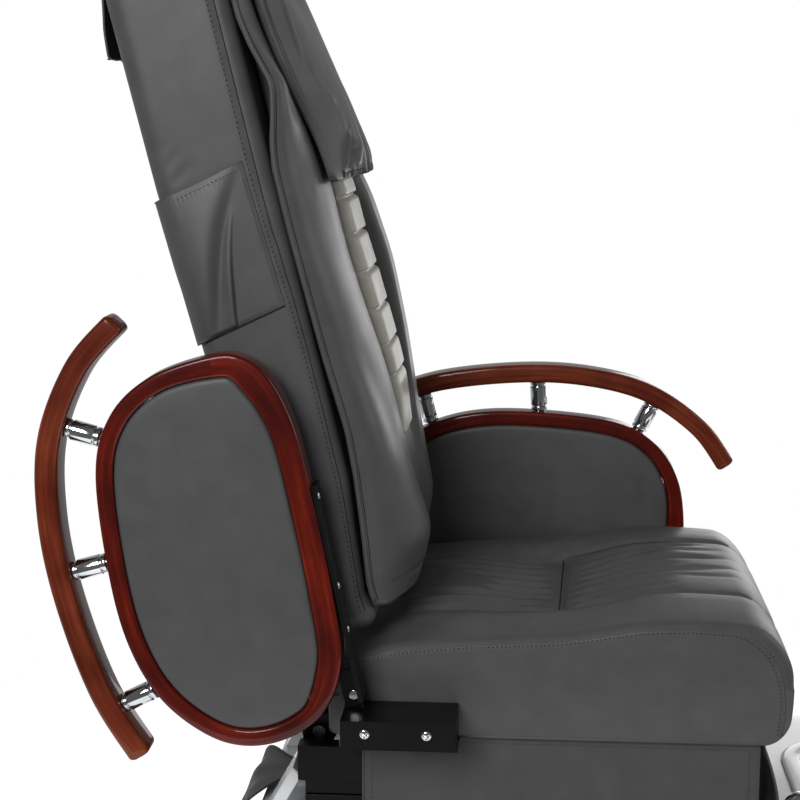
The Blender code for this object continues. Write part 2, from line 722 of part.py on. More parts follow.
def build_carriage(axis):
    inner = RUNNER_Y - RUNNER_W
    low_bar = RUNNER_TOP - CROSS_BAR
    high_bar = RUNNER_TOP - WELD_STEP
    bars = mirrored_boxes((RUNNER_REAR_X, RUNNER_FRONT_X), (inner, RUNNER_Y), (RUNNER_BOTTOM, RUNNER_TOP))
    rear_bar = PAN_REAR_X + RUNNER_W / 2
    tube_end = ACT_TUBE_REAR_X + ACT_TUBE_LENGTH
    hanger_x = tube_end - 2 * CROSS_BAR
    bar_end = RUNNER_Y - RUNNER_W / 2
    for x in (rear_bar, hanger_x, RUNNER_FRONT_X - CROSS_BAR - WELD_STEP):
        bars.append(box((x, -bar_end, low_bar), (x + CROSS_BAR, bar_end, high_bar)))
    bars.append(box((hanger_x + WELD_STEP, -ACT_TUBE_R, LEVER_PIN.z + ACT_TUBE_R + GAP),
                    (tube_end, ACT_TUBE_R, high_bar - WELD_STEP)))
    ear = (EAR_Y - EAR_T / 2, EAR_Y + EAR_T / 2)
    bars += mirrored_boxes((RECLINE_X - EAR_R + WELD_STEP, RECLINE_X + EAR_R * 0.8),
                           (ear[0] + WELD_STEP / 2, bar_end), (low_bar + WELD_STEP, high_bar))
    for side in (-1, 1):
        bars.append(rod((RECLINE_X, side * ear[0], RECLINE_Z), (RECLINE_X, side * ear[1], RECLINE_Z), EAR_R))
    frame = add_part("seat_frame", bars[0], BLACK_METAL, axis)
    join_all(frame, bars[1:])
    hole = RECLINE_PIN_R + PIN_GAP
    cut_all(frame, [rod((RECLINE_X, side * (ear[0] - EAR_T), RECLINE_Z),
                        (RECLINE_X, side * (ear[1] + EAR_T / 2), RECLINE_Z), hole) for side in (-1, 1)])
    for name, side in (("recline_pin_right", -1), ("recline_pin_left", 1)):
        pin = rod((RECLINE_X, side * (UPRIGHT_Y - UPRIGHT_W / 2 - EAR_T / 4), RECLINE_Z),
                  (RECLINE_X, side * (ear[1] + EAR_T / 4), RECLINE_Z), RECLINE_PIN_R)
        add_part(name, pin, STEEL, axis)
    pan = box((PAN_REAR_X, -RUNNER_Y, PAN_BOTTOM), (RUNNER_FRONT_X, RUNNER_Y, PAN_TOP))
    add_part("seat_pan", pan, PLYWOOD, axis)


def seat_top(x):
    """Height of the seat: low at the back, level to the cross seam, then a hump, rolled at the front."""
    rear = ease((x - SEAT_REAR_X) / SEAT_REAR_RAMP)
    hump = ease((x - SEAT_SEAM_X + SEAT_HUMP_LEAD) / SEAT_HUMP_RAMP)
    roll = ease((x - SEAT_FRONT_X + SEAT_ROLL_LEAD) / SEAT_ROLL)
    rise = (SEAT_MID_TOP - SEAT_REAR_TOP) * rear + (SEAT_HUMP_TOP - SEAT_MID_TOP) * hump
    return SEAT_REAR_TOP + rise - SEAT_ROLL_DROP * roll


def build_seat(axis):
    length = SEAT_FRONT_X - SEAT_REAR_X
    middle = (SEAT_FRONT_X + SEAT_REAR_X) / 2
    half_height = (SEAT_REAR_TOP - SEAT_BOTTOM) / 2

    def shape(place):
        x = place.x + middle
        share = (place.z + half_height) / (2 * half_height)
        crown = SEAT_CROWN * (1 - (place.y / SEAT_HALF_WIDTH) ** 2)
        cross = SEAM_DEPTH * dip(x - SEAT_SEAM_X, SEAM_WIDTH)
        ahead = ease((x - SEAT_SEAM_X) / SEAT_SEAM_RAMP)
        along = SEAM_DEPTH * ahead * dip(abs(place.y) - LONG_SEAM_Y, SEAM_WIDTH)
        top = seat_top(x) + crown - cross - along
        draw = SEAT_DRAW_IN * math.sin(math.pi * share)
        y = place.y * (1 - draw / SEAT_HALF_WIDTH)
        return Vector((x, y, SEAT_BOTTOM + share * (top - SEAT_BOTTOM)))
    seat = soft_block((length / 2, SEAT_HALF_WIDTH, half_height), (17, 11, 2), SEAT_ROUND, shape)
    add_part("seat_cushion", seat, LEATHER, axis)


def build_skirts(axis):
    top = PAN_TOP - GAP - BRACKET_TONGUE_T - SKIRT_TOP_GAP
    front = RUNNER_FRONT_X - SKIRT_T / 2

    def side_panel(side):
        def lay(u, v):
            fold = SKIRT_FOLD * (1 - v) * (0.5 - 0.5 * math.cos(2 * math.pi * SKIRT_FOLDS * u))
            x = SKIRT_REAR_X + u * (front - SKIRT_REAR_X)
            y = side * (RUNNER_Y + GAP + SKIRT_T + fold)
            return Vector((x, y, SKIRT_BOTTOM + v * (top - SKIRT_BOTTOM)))
        return cloth(24, 3, lay, SKIRT_T)
    add_part("skirt_right", side_panel(-1), CLOTH, axis)
    add_part("skirt_left", side_panel(1), CLOTH, axis)

    def lay_front(u, v):
        bulge = FRONT_SKIRT_BULGE * math.sin(math.pi * 0.75 * (1 - v))
        fold = SKIRT_FOLD * (1 - v) * (0.5 - 0.5 * math.cos(2 * math.pi * SKIRT_FOLDS * u))
        return Vector((RUNNER_FRONT_X + GAP + SKIRT_T + bulge + fold, (2 * u - 1) * (RUNNER_Y - SKIRT_T),
                       SKIRT_BOTTOM + v * (top - SKIRT_BOTTOM)))
    add_part("skirt_front", cloth(16, 4, lay_front, SKIRT_T), CLOTH, axis)


def build_bracket(name, side, axis):
    tongue = (PAN_TOP - GAP - BRACKET_TONGUE_T, PAN_TOP - GAP)
    ear = (BRACKET_EAR_Y, BRACKET_EAR_Y + BRACKET_EAR_T)

    def slice_box(x_range, y_range, z_range):
        low_y, high_y = sorted((side * y_range[0], side * y_range[1]))
        return box((x_range[0], low_y, z_range[0]), (x_range[1], high_y, z_range[1]))
    block = slice_box(BRACKET_X, (BRACKET_LEG_Y, BRACKET_OUT_Y),
                      (BRACKET_TOP - BRACKET_BLOCK_H, BRACKET_TOP))
    bracket = add_part("arm_bracket_" + name, block, BLACK_METAL, axis)
    stem = (ARM_PIVOT_X - PIVOT_R * 2, ARM_PIVOT_X + PIVOT_R * 2)
    eye = rod((ARM_PIVOT_X, side * ear[0], ARM_PIVOT_Z), (ARM_PIVOT_X, side * ear[1], ARM_PIVOT_Z),
              BRACKET_EYE_R)
    join_all(bracket, [
        slice_box(BRACKET_X, (BRACKET_LEG_Y, BRACKET_LEG_Y + BRACKET_LEG_T), (tongue[0], BRACKET_TOP)),
        slice_box(BRACKET_X, (RUNNER_Y + GAP, BRACKET_LEG_Y + BRACKET_LEG_T / 2), tongue),
        slice_box(stem, ear, (BRACKET_TOP - BRACKET_BLOCK_H / 2, ARM_PIVOT_Z)), eye])
    cut_all(bracket, [rod((ARM_PIVOT_X, side * (ear[0] - BRACKET_EAR_T / 3), ARM_PIVOT_Z),
                          (ARM_PIVOT_X, side * (ear[1] + BRACKET_EAR_T / 3), ARM_PIVOT_Z),
                          PIVOT_R + PIN_GAP)])
    head = ear[0] - GAP
    bolt = rod((ARM_PIVOT_X, side * (head - PIVOT_HEAD_T / 2), ARM_PIVOT_Z),
               (ARM_PIVOT_X, side * (ARM_INNER_Y - RUN_GAP), ARM_PIVOT_Z), PIVOT_R)
    part = add_part("arm_bolt_" + name, bolt, CHROME, axis)
    join_all(part, [rod((ARM_PIVOT_X, side * (head - PIVOT_HEAD_T), ARM_PIVOT_Z),
                        (ARM_PIVOT_X, side * head, ARM_PIVOT_Z), PIVOT_HEAD_R)])


def build_actuator(axis):
    pin = LEVER_PIN
    tube_end = ACT_TUBE_REAR_X + ACT_TUBE_LENGTH
    motor = add_part("recline_motor", rod((ACT_TUBE_REAR_X, 0, pin.z), (tube_end, 0, pin.z), ACT_TUBE_R),
                     BLACK_METAL, axis)
    length, width, height = ACT_MOTOR_SIZE
    join_all(motor, [box((tube_end - ROD_OVERLAP, -width / 2, pin.z - height / 2),
                         (tube_end + length, width / 2, pin.z + height / 2 - ROD_OVERLAP))])
    cut_all(motor, [rod((ACT_TUBE_REAR_X - ACT_BORE_END, 0, pin.z), (tube_end - ACT_BORE_END, 0, pin.z),
                        ROD_R + RUN_GAP)])
    slide = new_axis("actuator_axis", pin, parent=axis)
    slide.location = pin - axis.location
    cheek = LEVER_PIN_R * 2.4
    fork = box((-cheek, -cheek, -CLEVIS_HALF), (CLEVIS_LENGTH, cheek, CLEVIS_HALF))
    part = add_part("actuator_rod", fork, STEEL, slide, world=False)
    join_all(part, [rod((CLEVIS_LENGTH - ROD_OVERLAP, 0, 0), (CLEVIS_LENGTH + ROD_LENGTH, 0, 0), ROD_R)])
    slot = LEVER_PIN_R + 2 * RUN_GAP
    inner = LEVER_T / 2 + 2 * RUN_GAP
    cut_all(part, [
        box((-2 * cheek, -inner, -2 * CLEVIS_HALF), (CLEVIS_LENGTH * 0.6, inner, 2 * CLEVIS_HALF)),
        box((-slot, -2 * cheek, -slot - CLEVIS_SLOT_RISE), (slot, 2 * cheek, slot))])


# Reclining back

def build_back_frame(axis):
    inner = BACK_P[0] + CAVITY_REAR_WALL + GAP
    span = (inner, inner + UPRIGHT_W)
    across = (UPRIGHT_Y - UPRIGHT_W / 2, UPRIGHT_Y + UPRIGHT_W / 2)
    foot = RECLINE_PIN_R * 1.6
    bars = mirrored_boxes(span, across, (BACK_S[0] - UPRIGHT_W, UPRIGHT_TOP))
    welded = (across[0] + WELD_STEP, across[1] - WELD_STEP)
    bars += mirrored_boxes((-foot, foot), welded, (-foot, BACK_S[0] - 3 * GAP))
    bars.append(box((-foot + WELD_STEP, -UPRIGHT_Y, -foot + WELD_STEP),
                    (foot * 0.8, UPRIGHT_Y, foot - WELD_STEP)))
    for s in (BACK_S[0] + UPRIGHT_W, UPRIGHT_TOP - WELD_STEP):
        bars.append(box((span[0] + WELD_STEP, -UPRIGHT_Y, s - UPRIGHT_W),
                        (span[1] - WELD_STEP, UPRIGHT_Y, s)))
    angle = LEVER_BACK_ANGLE + RECLINE_TILT
    tip = Vector((-math.sin(angle), -math.cos(angle))) * LEVER_LENGTH
    reach = tip * (1 + LEVER_PIN_R * 1.3 / LEVER_LENGTH)
    lever = [ribbon([Vector((0, 0)), reach], LEVER_PIN_R * 3)]
    bars.append(slab(lever, -LEVER_T / 2, LEVER_T / 2, upright=True))
    bars.append(rod((tip.x, -LEVER_PIN_R * 2.4, tip.y), (tip.x, LEVER_PIN_R * 2.4, tip.y), LEVER_PIN_R))
    frame = add_part("back_frame", bars[0], BLACK_METAL, axis, world=False)
    join_all(frame, bars[1:])
    hole = RECLINE_PIN_R + PIN_GAP
    reach_y = across[0] - EAR_T
    cut_all(frame, [rod((0, side * reach_y, 0), (0, side * (across[1] + EAR_T), 0), hole)
                    for side in (-1, 1)])


def build_back_body(axis):
    half = Vector(((BACK_P[1] - BACK_P[0]) / 2, BACK_HALF_WIDTH, (BACK_S[1] - BACK_S[0]) / 2))
    centre = Vector(((BACK_P[1] + BACK_P[0]) / 2, 0, (BACK_S[1] + BACK_S[0]) / 2))

    def shape(place):
        behind = max(-place.x / half.x, 0.0)
        crown = BACK_CROWN * behind * (1 - (place.y / half.y) ** 2) * (1 - (place.z / half.z) ** 2)
        return place + centre - Vector((crown, 0, 0))
    block = soft_block(half, (3, 9, 11), BACK_ROUND, shape)
    body = add_part("back_body", block, LEATHER, axis, world=False)
    rear = BACK_P[0] + CAVITY_REAR_WALL
    cut_all(body, [box((rear, -CAVITY_HALF_WIDTH, BACK_S[0] - half.x),
                       (BACK_P[1] + half.x, CAVITY_HALF_WIDTH, CAVITY_TOP))])


def overlay_front(y, s):
    """Thickness of the massage cover: two bolsters, a pleated channel, thinner behind the pillow."""
    side = abs(y)
    crest = (CHANNEL_HALF_WIDTH + OVERLAY_HALF_WIDTH) / 2 - CREST_IN
    if side > crest:
        fall = min((side - crest) / (OVERLAY_HALF_WIDTH - crest), 1.0)
        depth = OVERLAY_EDGE + (OVERLAY_BOLSTER - OVERLAY_EDGE) * math.sqrt(1 - fall * fall)
    else:
        rise = ease((side - CHANNEL_HALF_WIDTH + CHANNEL_LEAD) / CHANNEL_RAMP)
        depth = OVERLAY_CENTRE + (OVERLAY_BOLSTER - OVERLAY_CENTRE) * rise
        pleated = ease((s - PLEAT_LOW_S) / PLEAT_RAMP) * (1 - rise)
        depth -= PLEAT_DEPTH * pleated * math.cos(math.pi * (s - PLEAT_LOW_S) / PLEAT_PITCH) ** 2
    head = ease((s - HEAD_S + HEAD_RAMP) / HEAD_RAMP)
    depth += (min(depth, OVERLAY_HEAD) - depth) * head
    low = ease((s - OVERLAY_S[0]) / OVERLAY_FOOT_RAMP)
    return OVERLAY_EDGE + (depth - OVERLAY_EDGE) * low


def build_overlay(axis):
    half = Vector((OVERLAY_BOLSTER / 2, OVERLAY_HALF_WIDTH, (OVERLAY_S[1] - OVERLAY_S[0]) / 2))
    middle = (OVERLAY_S[1] + OVERLAY_S[0]) / 2

    def shape(place):
        share = (place.x + half.x) / (2 * half.x)
        s = place.z + middle
        return Vector((OVERLAY_P + share * overlay_front(place.y, s), place.y, s))
    cover = soft_block(half, (1, 9, 49), OVERLAY_ROUND, shape, even_rows=True)
    add_part("back_overlay", cover, LEATHER, axis, world=False)


def build_pillow(axis):
    rear = OVERLAY_P + OVERLAY_HEAD + GAP
    half = Vector((PILLOW_T / 2, PILLOW_HALF_WIDTH, (PILLOW_S[1] - PILLOW_S[0]) / 2))
    middle = (PILLOW_S[1] + PILLOW_S[0]) / 2

    def shape(place):
        share = (place.x + half.x) / (2 * half.x)
        taper = 0.80 - 0.20 * place.z / half.z
        crown = PILLOW_CROWN * (1 - (place.y / half.y) ** 2)
        waves = math.cos(PILLOW_GATHERS * math.pi * place.y / half.y)
        gather = PILLOW_GATHER * waves * ease(-place.z / half.z - 0.2)
        return Vector((rear + share * (PILLOW_T * taper + crown + gather), place.y, place.z + middle))
    add_part("head_pillow", soft_block(half, (2, 15, 7), PILLOW_ROUND, shape), LEATHER, axis,
             world=False)
    crest = BACK_S[1] - BACK_ROUND
    over = BACK_ROUND + 2 * GAP + PILLOW_FLAP_T / 2
    behind = BACK_P[0] - BACK_CROWN - GAP - PILLOW_FLAP_T / 2
    start = PILLOW_S[1] + GAP + PILLOW_FLAP_T / 2
    ahead = OVERLAY_P + OVERLAY_HEAD
    line = [Vector((ahead + PILLOW_T / 3, start)), Vector((ahead, start))]
    for turn in range(7):
        angle = turn * math.pi / 12
        turn_p = BACK_P[1] - BACK_ROUND
        line.append(Vector((turn_p + over * math.cos(angle), crest + over * math.sin(angle))))
    for turn in range(7):
        angle = turn * math.pi / 12
        turn_p = BACK_P[0] + BACK_ROUND
        line.append(Vector((turn_p - (turn_p - behind) * math.sin(angle), crest + over * math.cos(angle))))
    line.append(Vector((behind, PILLOW_FLAP_LOW_S)))
    half_width = PILLOW_FLAP_HALF_WIDTH
    flap = slab([ribbon(line, PILLOW_FLAP_T)], -half_width, half_width, upright=True)
    add_part("pillow_flap", flap, CLOTH, axis, world=False)


def build_massage(axis):
    inner = BACK_P[0] + CAVITY_REAR_WALL + GAP
    screw_p = inner + UPRIGHT_W / 2
    low = BACK_S[0] + UPRIGHT_W + GAP
    high = UPRIGHT_TOP - WELD_STEP - UPRIGHT_W - GAP
    screw = rod((screw_p, 0, low), (screw_p, 0, high), SCREW_R, 16)
    add_part("lead_screw", screw, STEEL, axis, world=False)
    travel = new_axis("massage_axis", (screw_p, 0, MASSAGE_S), parent=axis)
    plate_p = inner + UPRIGHT_W + GAP - screw_p
    front = plate_p + MASSAGE_PLATE
    roller_p = ROLLER_P - screw_p
    middle = MASSAGE_H / 2
    reach = UPRIGHT_Y + UPRIGHT_W / 2
    plate = add_part("massage_carriage", box((plate_p, -reach, 0), (front, reach, MASSAGE_H)), STEEL, travel,
                     world=False)
    nut = UPRIGHT_W / 2 - 2 * RUN_GAP
    lug = AXLE_R * 2
    blocks = [box((-nut, -NUT_HALF, 0), (front, NUT_HALF, MASSAGE_H))]
    for side in (-1, 1):
        blocks.append(box((plate_p, side * LUG_Y - LUG_T / 2, middle - lug),
                          (roller_p + lug, side * LUG_Y + LUG_T / 2, middle + lug)))
    join_all(plate, blocks)
    cut_all(plate, [rod((0, 0, -NUT_HALF), (0, 0, MASSAGE_H + NUT_HALF), SCREW_R + PIN_GAP, 16)])
    cut_all(plate, [rod((roller_p, side * (LUG_Y - LUG_T), middle),
                        (roller_p, side * (LUG_Y + LUG_T), middle), AXLE_R + PIN_GAP) for side in (-1, 1)])
    spin = new_axis("roller_axis", (roller_p, 0, middle), parent=travel)
    axle = add_part("massage_rollers", rod((0, -AXLE_HALF, 0), (0, AXLE_HALF, 0), AXLE_R), BLACK_METAL, spin,
                    world=False)
    join_all(axle, [rod((0, side * y - ROLLER_W / 2, 0), (0, side * y + ROLLER_W / 2, 0), ROLLER_R, 14)
                    for y in ROLLER_Y for side in (-1, 1)])


# Arms

def puffed(loop, low, high, crown):
    """A padded panel: the outline extruded along Y, with both faces raised in inset steps."""
    bm = bmesh.new()
    face = bm.faces.new([bm.verts.new((place.x, low, place.y)) for place in loop])
    made = bmesh.ops.extrude_face_region(bm, geom=[face])
    moved = [item for item in made["geom"] if isinstance(item, bmesh.types.BMVert)]
    bmesh.ops.translate(bm, vec=(0, high - low, 0), verts=moved)
    bmesh.ops.recalc_face_normals(bm, faces=bm.faces)
    caps = [f for f in bm.faces if len(f.verts) == len(loop)]
    for width, share in PAD_STEPS:
        for cap in caps:
            bmesh.ops.inset_region(bm, faces=[cap], thickness=width, depth=crown * share,
                                   use_even_offset=True)
    return to_mesh("padded", bm)


def build_arm(name, side, axis):
    outer = smooth(RIM_POINTS, 3, True)
    inner = inset(outer, RIM_W)
    line = smooth(RAIL_POINTS, 3, False)
    centre = ARM_INNER_Y + RIM_T / 2

    def across(depth):
        return sorted((side * (centre - depth / 2), side * (centre + depth / 2)))
    add_part("arm_rim_" + name, slab([outer, inner], *across(RIM_T), upright=True, round_by=EDGE_ROUND),
             LACQUER, axis, world=False)
    pad = puffed(inset(inner, GAP), *across(PAD_T), PAD_CROWN)
    add_part("arm_pad_" + name, pad, LEATHER, axis, world=False)
    rail = slab([ribbon(line, RAIL_BAR_W)], *across(RAIL_DEPTH), upright=True, round_by=EDGE_ROUND)
    add_part("arm_rail_" + name, rail, LACQUER, axis, world=False)
    top = [place for place in outer if place.y > RIM_UPPER_V]
    for index, u in enumerate(STANDOFF_U):
        foot = min(top, key=lambda place: abs(place.x - u))
        head = min(line, key=lambda place: (place - foot).length)
        way = (head - foot).normalized()
        start = foot - way * STANDOFF_R / 4
        ring = foot + way * STANDOFF_R
        ends = [(place.x, side * centre, place.y) for place in (start, head, ring)]
        bar = rod(ends[0], ends[1], STANDOFF_R)
        post = add_part("standoff_%s_%d" % (name, index + 1), bar, CHROME, axis, world=False)
        join_all(post, [rod(ends[0], ends[2], STANDOFF_COLLAR_R)])
        cut_all(post, [slab([inset(outer, -GAP)], *across(2 * RAIL_DEPTH), upright=True),
                       slab([ribbon(line, RAIL_BAR_W + 2 * GAP)], *across(2 * RAIL_DEPTH), upright=True)])
    low = min(place.y for place in outer) - GAP
    ear = sorted((side * ARM_EAR_Y, side * (ARM_EAR_Y + ARM_EAR_T)))
    strap_y = sorted((side * ARM_EAR_Y, side * (ARM_INNER_Y + RIM_T - EDGE_ROUND)))
    strap = box((STRAP_U[0], strap_y[0], low - STRAP_T), (STRAP_U[1], strap_y[1], low))
    bar = add_part("hinge_bar_" + name, strap, BLACK_METAL, axis, world=False)
    join_all(bar, [box((0, ear[0], low - STRAP_T), (ARM_EYE_R * 2.5, ear[1], ARM_EYE_R)),
                   rod((0, ear[0], 0), (0, ear[1], 0), ARM_EYE_R)])
    cut_all(bar, [rod((0, ear[0] - ARM_EAR_T / 2, 0), (0, ear[1] + ARM_EAR_T / 2, 0), PIVOT_R + PIN_GAP)])


clear_scene()
PARTS = new_collection("pedicure_chair")
TOOLS = new_collection("tools")
ACRYLIC = new_material("white_acrylic", (0.72, 0.73, 0.74), 0.18)
WHITE_PLASTIC = new_material("white_plastic", (0.70, 0.70, 0.70), 0.35)
LEATHER = new_material("grey_leather", (0.085, 0.083, 0.084), 0.42)
CLOTH = new_material("grey_cloth", (0.065, 0.062, 0.063), 0.60)
LACQUER = new_material("red_lacquer", (0.110, 0.013, 0.008), 0.14)
BLACK_METAL = new_material("black_steel", (0.012, 0.012, 0.013), 0.40)
STEEL = new_material("bright_steel", (0.55, 0.55, 0.56), 0.30, 1.0)
CHROME = new_material("chrome", (0.80, 0.81, 0.82), 0.08, 1.0)
PLYWOOD = new_material("plywood", (0.36, 0.24, 0.13), 0.60)

build_shell()
build_chassis()
build_basin()
build_services()
build_tap()
build_stand()
build_rear()
SLIDE = new_axis("seat_slide_axis", (RECLINE_X, 0, RAIL_TOP))
build_carriage(SLIDE)
build_seat(SLIDE)
build_skirts(SLIDE)
build_bracket("right", -1, SLIDE)
build_bracket("left", 1, SLIDE)
build_actuator(SLIDE)
RECLINE = new_axis("recline_axis", (0, 0, RECLINE_Z - RAIL_TOP), -RECLINE_TILT, SLIDE)
build_back_frame(RECLINE)
build_back_body(RECLINE)
build_overlay(RECLINE)
build_pillow(RECLINE)
build_massage(RECLINE)
ARM_SPOT = (ARM_PIVOT_X - RECLINE_X, 0, ARM_PIVOT_Z - RAIL_TOP)
build_arm("right", -1, new_axis("arm_right_axis", ARM_SPOT, -ARM_FLIP, SLIDE))
build_arm("left", 1, new_axis("arm_left_axis", ARM_SPOT, 0.0, SLIDE))
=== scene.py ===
"""Pedicure chair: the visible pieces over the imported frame.

Metres, +Z up, +X is the way the sitter faces, -Y is the sitter's right. At rest the right arm is flipped up.
"""
import math

import bmesh
import bpy
import numpy as np
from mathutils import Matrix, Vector
from mathutils.bvhtree import BVHTree


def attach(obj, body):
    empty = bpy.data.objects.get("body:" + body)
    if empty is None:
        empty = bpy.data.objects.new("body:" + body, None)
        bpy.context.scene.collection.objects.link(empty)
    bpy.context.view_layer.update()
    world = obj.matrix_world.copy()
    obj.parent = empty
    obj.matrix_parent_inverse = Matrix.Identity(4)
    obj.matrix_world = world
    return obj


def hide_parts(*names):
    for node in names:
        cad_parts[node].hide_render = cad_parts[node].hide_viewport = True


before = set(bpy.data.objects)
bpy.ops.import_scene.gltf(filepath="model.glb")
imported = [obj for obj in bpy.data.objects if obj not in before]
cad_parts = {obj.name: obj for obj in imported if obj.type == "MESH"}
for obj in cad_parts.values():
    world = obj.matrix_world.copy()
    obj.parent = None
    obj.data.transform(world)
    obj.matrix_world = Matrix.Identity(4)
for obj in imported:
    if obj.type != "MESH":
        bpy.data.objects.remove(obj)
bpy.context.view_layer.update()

# Back frame: s up along the back, p forward, from the recline pivot
RECLINE_X, RECLINE_Z = -0.500, 0.475
TILT = math.radians(13.5)
BACK_S = (0.128, 0.990)
BACK_P = (-0.012, 0.119)
BACK_HALF_WIDTH = 0.245
BACK_ROUND = 0.022
OVERLAY_S = (0.150, 0.930)
OVERLAY_P = 0.1193
OVERLAY_HALF_WIDTH = 0.236
OVERLAY_CENTRE = 0.053
OVERLAY_HEAD = 0.034
HEAD_S = 0.655
CHANNEL_HALF_WIDTH = 0.072
BAND_S = (0.320, 0.700)
BAND_HALF_WIDTH = 0.070
PILLOW_S = (0.660, 0.940)
PILLOW_HALF_WIDTH = 0.150

# Arm frame, arm lowered: u forward, v up, from the arm pivot
PIVOT_X, PIVOT_Z = -0.447, 0.553
ARM_FLIP = math.radians(102.0)
ARM_INNER_Y = 0.280
RIM_T = 0.036
RAIL_W = 0.027
RAIL_DEPTH = 0.044
PAD_T = 0.026
ARM_CENTRE_Y = ARM_INNER_Y + RIM_T / 2
RAIL_END = 0.0065
RIM_CORNER = (0.420, 0.030)
STANDOFF_U = (0.060, 0.220, 0.368)
RIM_POINTS = (
    (0.438, 0.072), (0.428, 0.146), (0.392, 0.203), (0.325, 0.236), (0.192, 0.249), (0.102, 0.242),
    (0.034, 0.214), (-0.018, 0.160), (-0.030, 0.098), (-0.006, 0.036), (0.052, 0.000), (0.141, -0.008),
    (0.250, -0.009), (0.340, -0.006), (0.400, 0.010), (0.430, 0.036))
RAIL_POINTS = (
    (0.498, 0.170), (0.455, 0.228), (0.380, 0.279), (0.290, 0.302), (0.190, 0.306), (0.070, 0.292),
    (-0.018, 0.262))

# Seat
SEAT_X = (-0.482, 0.073)
SEAT_BOTTOM = 0.4906
SEAT_HALF_WIDTH = 0.250
SEAT_SEAM_X = -0.196
SEAT_SEAM_SLANT = 0.041
LONG_SEAM_Y = 0.133
SKIRT_LOW_Z = 0.352

# Sewing
STITCH = 0.0052
SEAM_STEP = 0.006
SEAM_SINK = 0.0003
SEAM_RADIUS = 0.0007
SIDES = ((-1, "right"), (1, "left"))


# Shapes as arrays

def ease(value):
    """Smooth step from 0 to 1."""
    value = np.clip(value, 0.0, 1.0)
    return value * value * (3 - 2 * value)


def bump(value):
    """Bell of height 1 at 0, fading by 2."""
    return np.exp(-np.square(value))


def catmull(points, steps=12, closed=False):
    """Points on the Catmull-Rom curve through the given points."""
    points = np.asarray(points, float)
    count = len(points)
    spans = np.arange(count if closed else count - 1)
    near = [points[(spans + k) % count if closed else np.clip(spans + k, 0, count - 1)] for k in (-1, 0, 1, 2)]
    t = (np.arange(steps) / steps)[None, :, None]
    a, b, c, d = (side[:, None, :] for side in near)
    made = b + t * (c - a) / 2 + t ** 2 * (2 * a - 5 * b + 4 * c - d) / 2 + t ** 3 * (3 * (b - c) + d - a) / 2
    made = made.reshape(-1, points.shape[1])
    return made if closed else np.vstack([made, points[-1:]])


def lengths(line):
    """Running length along a polyline."""
    return np.concatenate([[0.0], np.cumsum(np.linalg.norm(np.diff(line, axis=0), axis=1))])


def resample(line, count=None, closed=False, at=None):
    """Points at even steps, or at given lengths, along a polyline."""
    line = np.asarray(line, float)
    whole = np.vstack([line, line[:1]]) if closed else line
    run = lengths(whole)
    if at is None:
        at = np.linspace(0, run[-1], count, endpoint=not closed)
    return np.stack([np.interp(at, run, whole[:, k]) for k in range(whole.shape[1])], 1)


def block(counts):
    """Lattice over a cube's surface: places from -1 to 1 on each axis, and outward quads."""
    counts = np.asarray(counts)
    grid = np.indices(counts + 1)
    shell = ((grid == 0) | (grid == counts[:, None, None, None])).any(0)
    ids = -np.ones(shell.shape, int)
    ids[shell] = np.arange(shell.sum())
    places = np.stack([grid[k][shell] / counts[k] * 2 - 1 for k in range(3)], 1)
    faces = []
    for axis in range(3):
        for end in (0, counts[axis]):
            side = np.take(ids, end, axis=axis)
            quads = np.stack([side[:-1, :-1], side[1:, :-1], side[1:, 1:], side[:-1, 1:]], -1).reshape(-1, 4)
            faces.append(quads if (end > 0) != (axis == 1) else quads[:, ::-1])
    return places, np.concatenate(faces)


def rounded(places, half, radius):
    """A lattice block of half sizes, with each edge rounded to a radius; rows are drawn towards the edges."""
    half = np.asarray(half)
    spread = (0.45 * places + 0.55 * np.sin(places * math.pi / 2)) * half
    core = np.clip(spread, radius - half, half - radius)
    out = spread - core
    size = np.linalg.norm(out, axis=1, keepdims=True)
    return core + out / np.maximum(size, 1e-9) * np.minimum(size, radius)


def grid_quads(rows, columns, wrap_rows=False, wrap_columns=False):
    """Quads over an array of points, and each corner's unwrapped (row, column)."""
    r, c = np.meshgrid(np.arange(rows - (not wrap_rows)), np.arange(columns - (not wrap_columns)), indexing="ij")
    corners = np.stack([np.stack([r + a, c + b], -1) for a, b in ((0, 0), (1, 0), (1, 1), (0, 1))], 2)
    corners = corners.reshape(-1, 4, 2)
    return (corners[..., 0] % rows) * columns + corners[..., 1] % columns, corners


def normals(points, faces):
    """Outward normal at each point of a quad skin."""
    a, b, c, d = (points[faces[:, k]] for k in range(4))
    flat = np.cross(c - a, d - b)
    out = np.zeros_like(points)
    for k in range(4):
        np.add.at(out, faces[:, k], flat)
    return out / np.maximum(np.linalg.norm(out, axis=1, keepdims=True), 1e-12)


def from_line(points, line):
    """Distance of each point from a polyline, and the share of the line's length nearest to it."""
    line = np.asarray(line, float)
    run = lengths(line)
    best = np.full(len(points), 1e9)
    share = np.zeros(len(points))
    for k in range(len(line) - 1):
        step = line[k + 1] - line[k]
        t = np.clip((points - line[k]) @ step / max(step @ step, 1e-15), 0, 1)
        gap = np.linalg.norm(points - line[k] - t[:, None] * step, axis=1)
        closer = gap < best
        best[closer] = gap[closer]
        share[closer] = (run[k] + t[closer] * (run[k + 1] - run[k])) / run[-1]
    return best, share


def carve(points, faces, lines):
    """Sink a skin along lines: each is (polyline, width, depth, end fade); a negative depth raises it."""
    out = normals(points, faces)
    total = np.zeros(len(points))
    for line, width, depth, fade in lines:
        gap, share = from_line(points, line)
        ends = ease(np.minimum(share, 1 - share) / fade) if fade else 1.0
        total += depth * bump(gap / width) * ends
    return points - out * total[:, None]


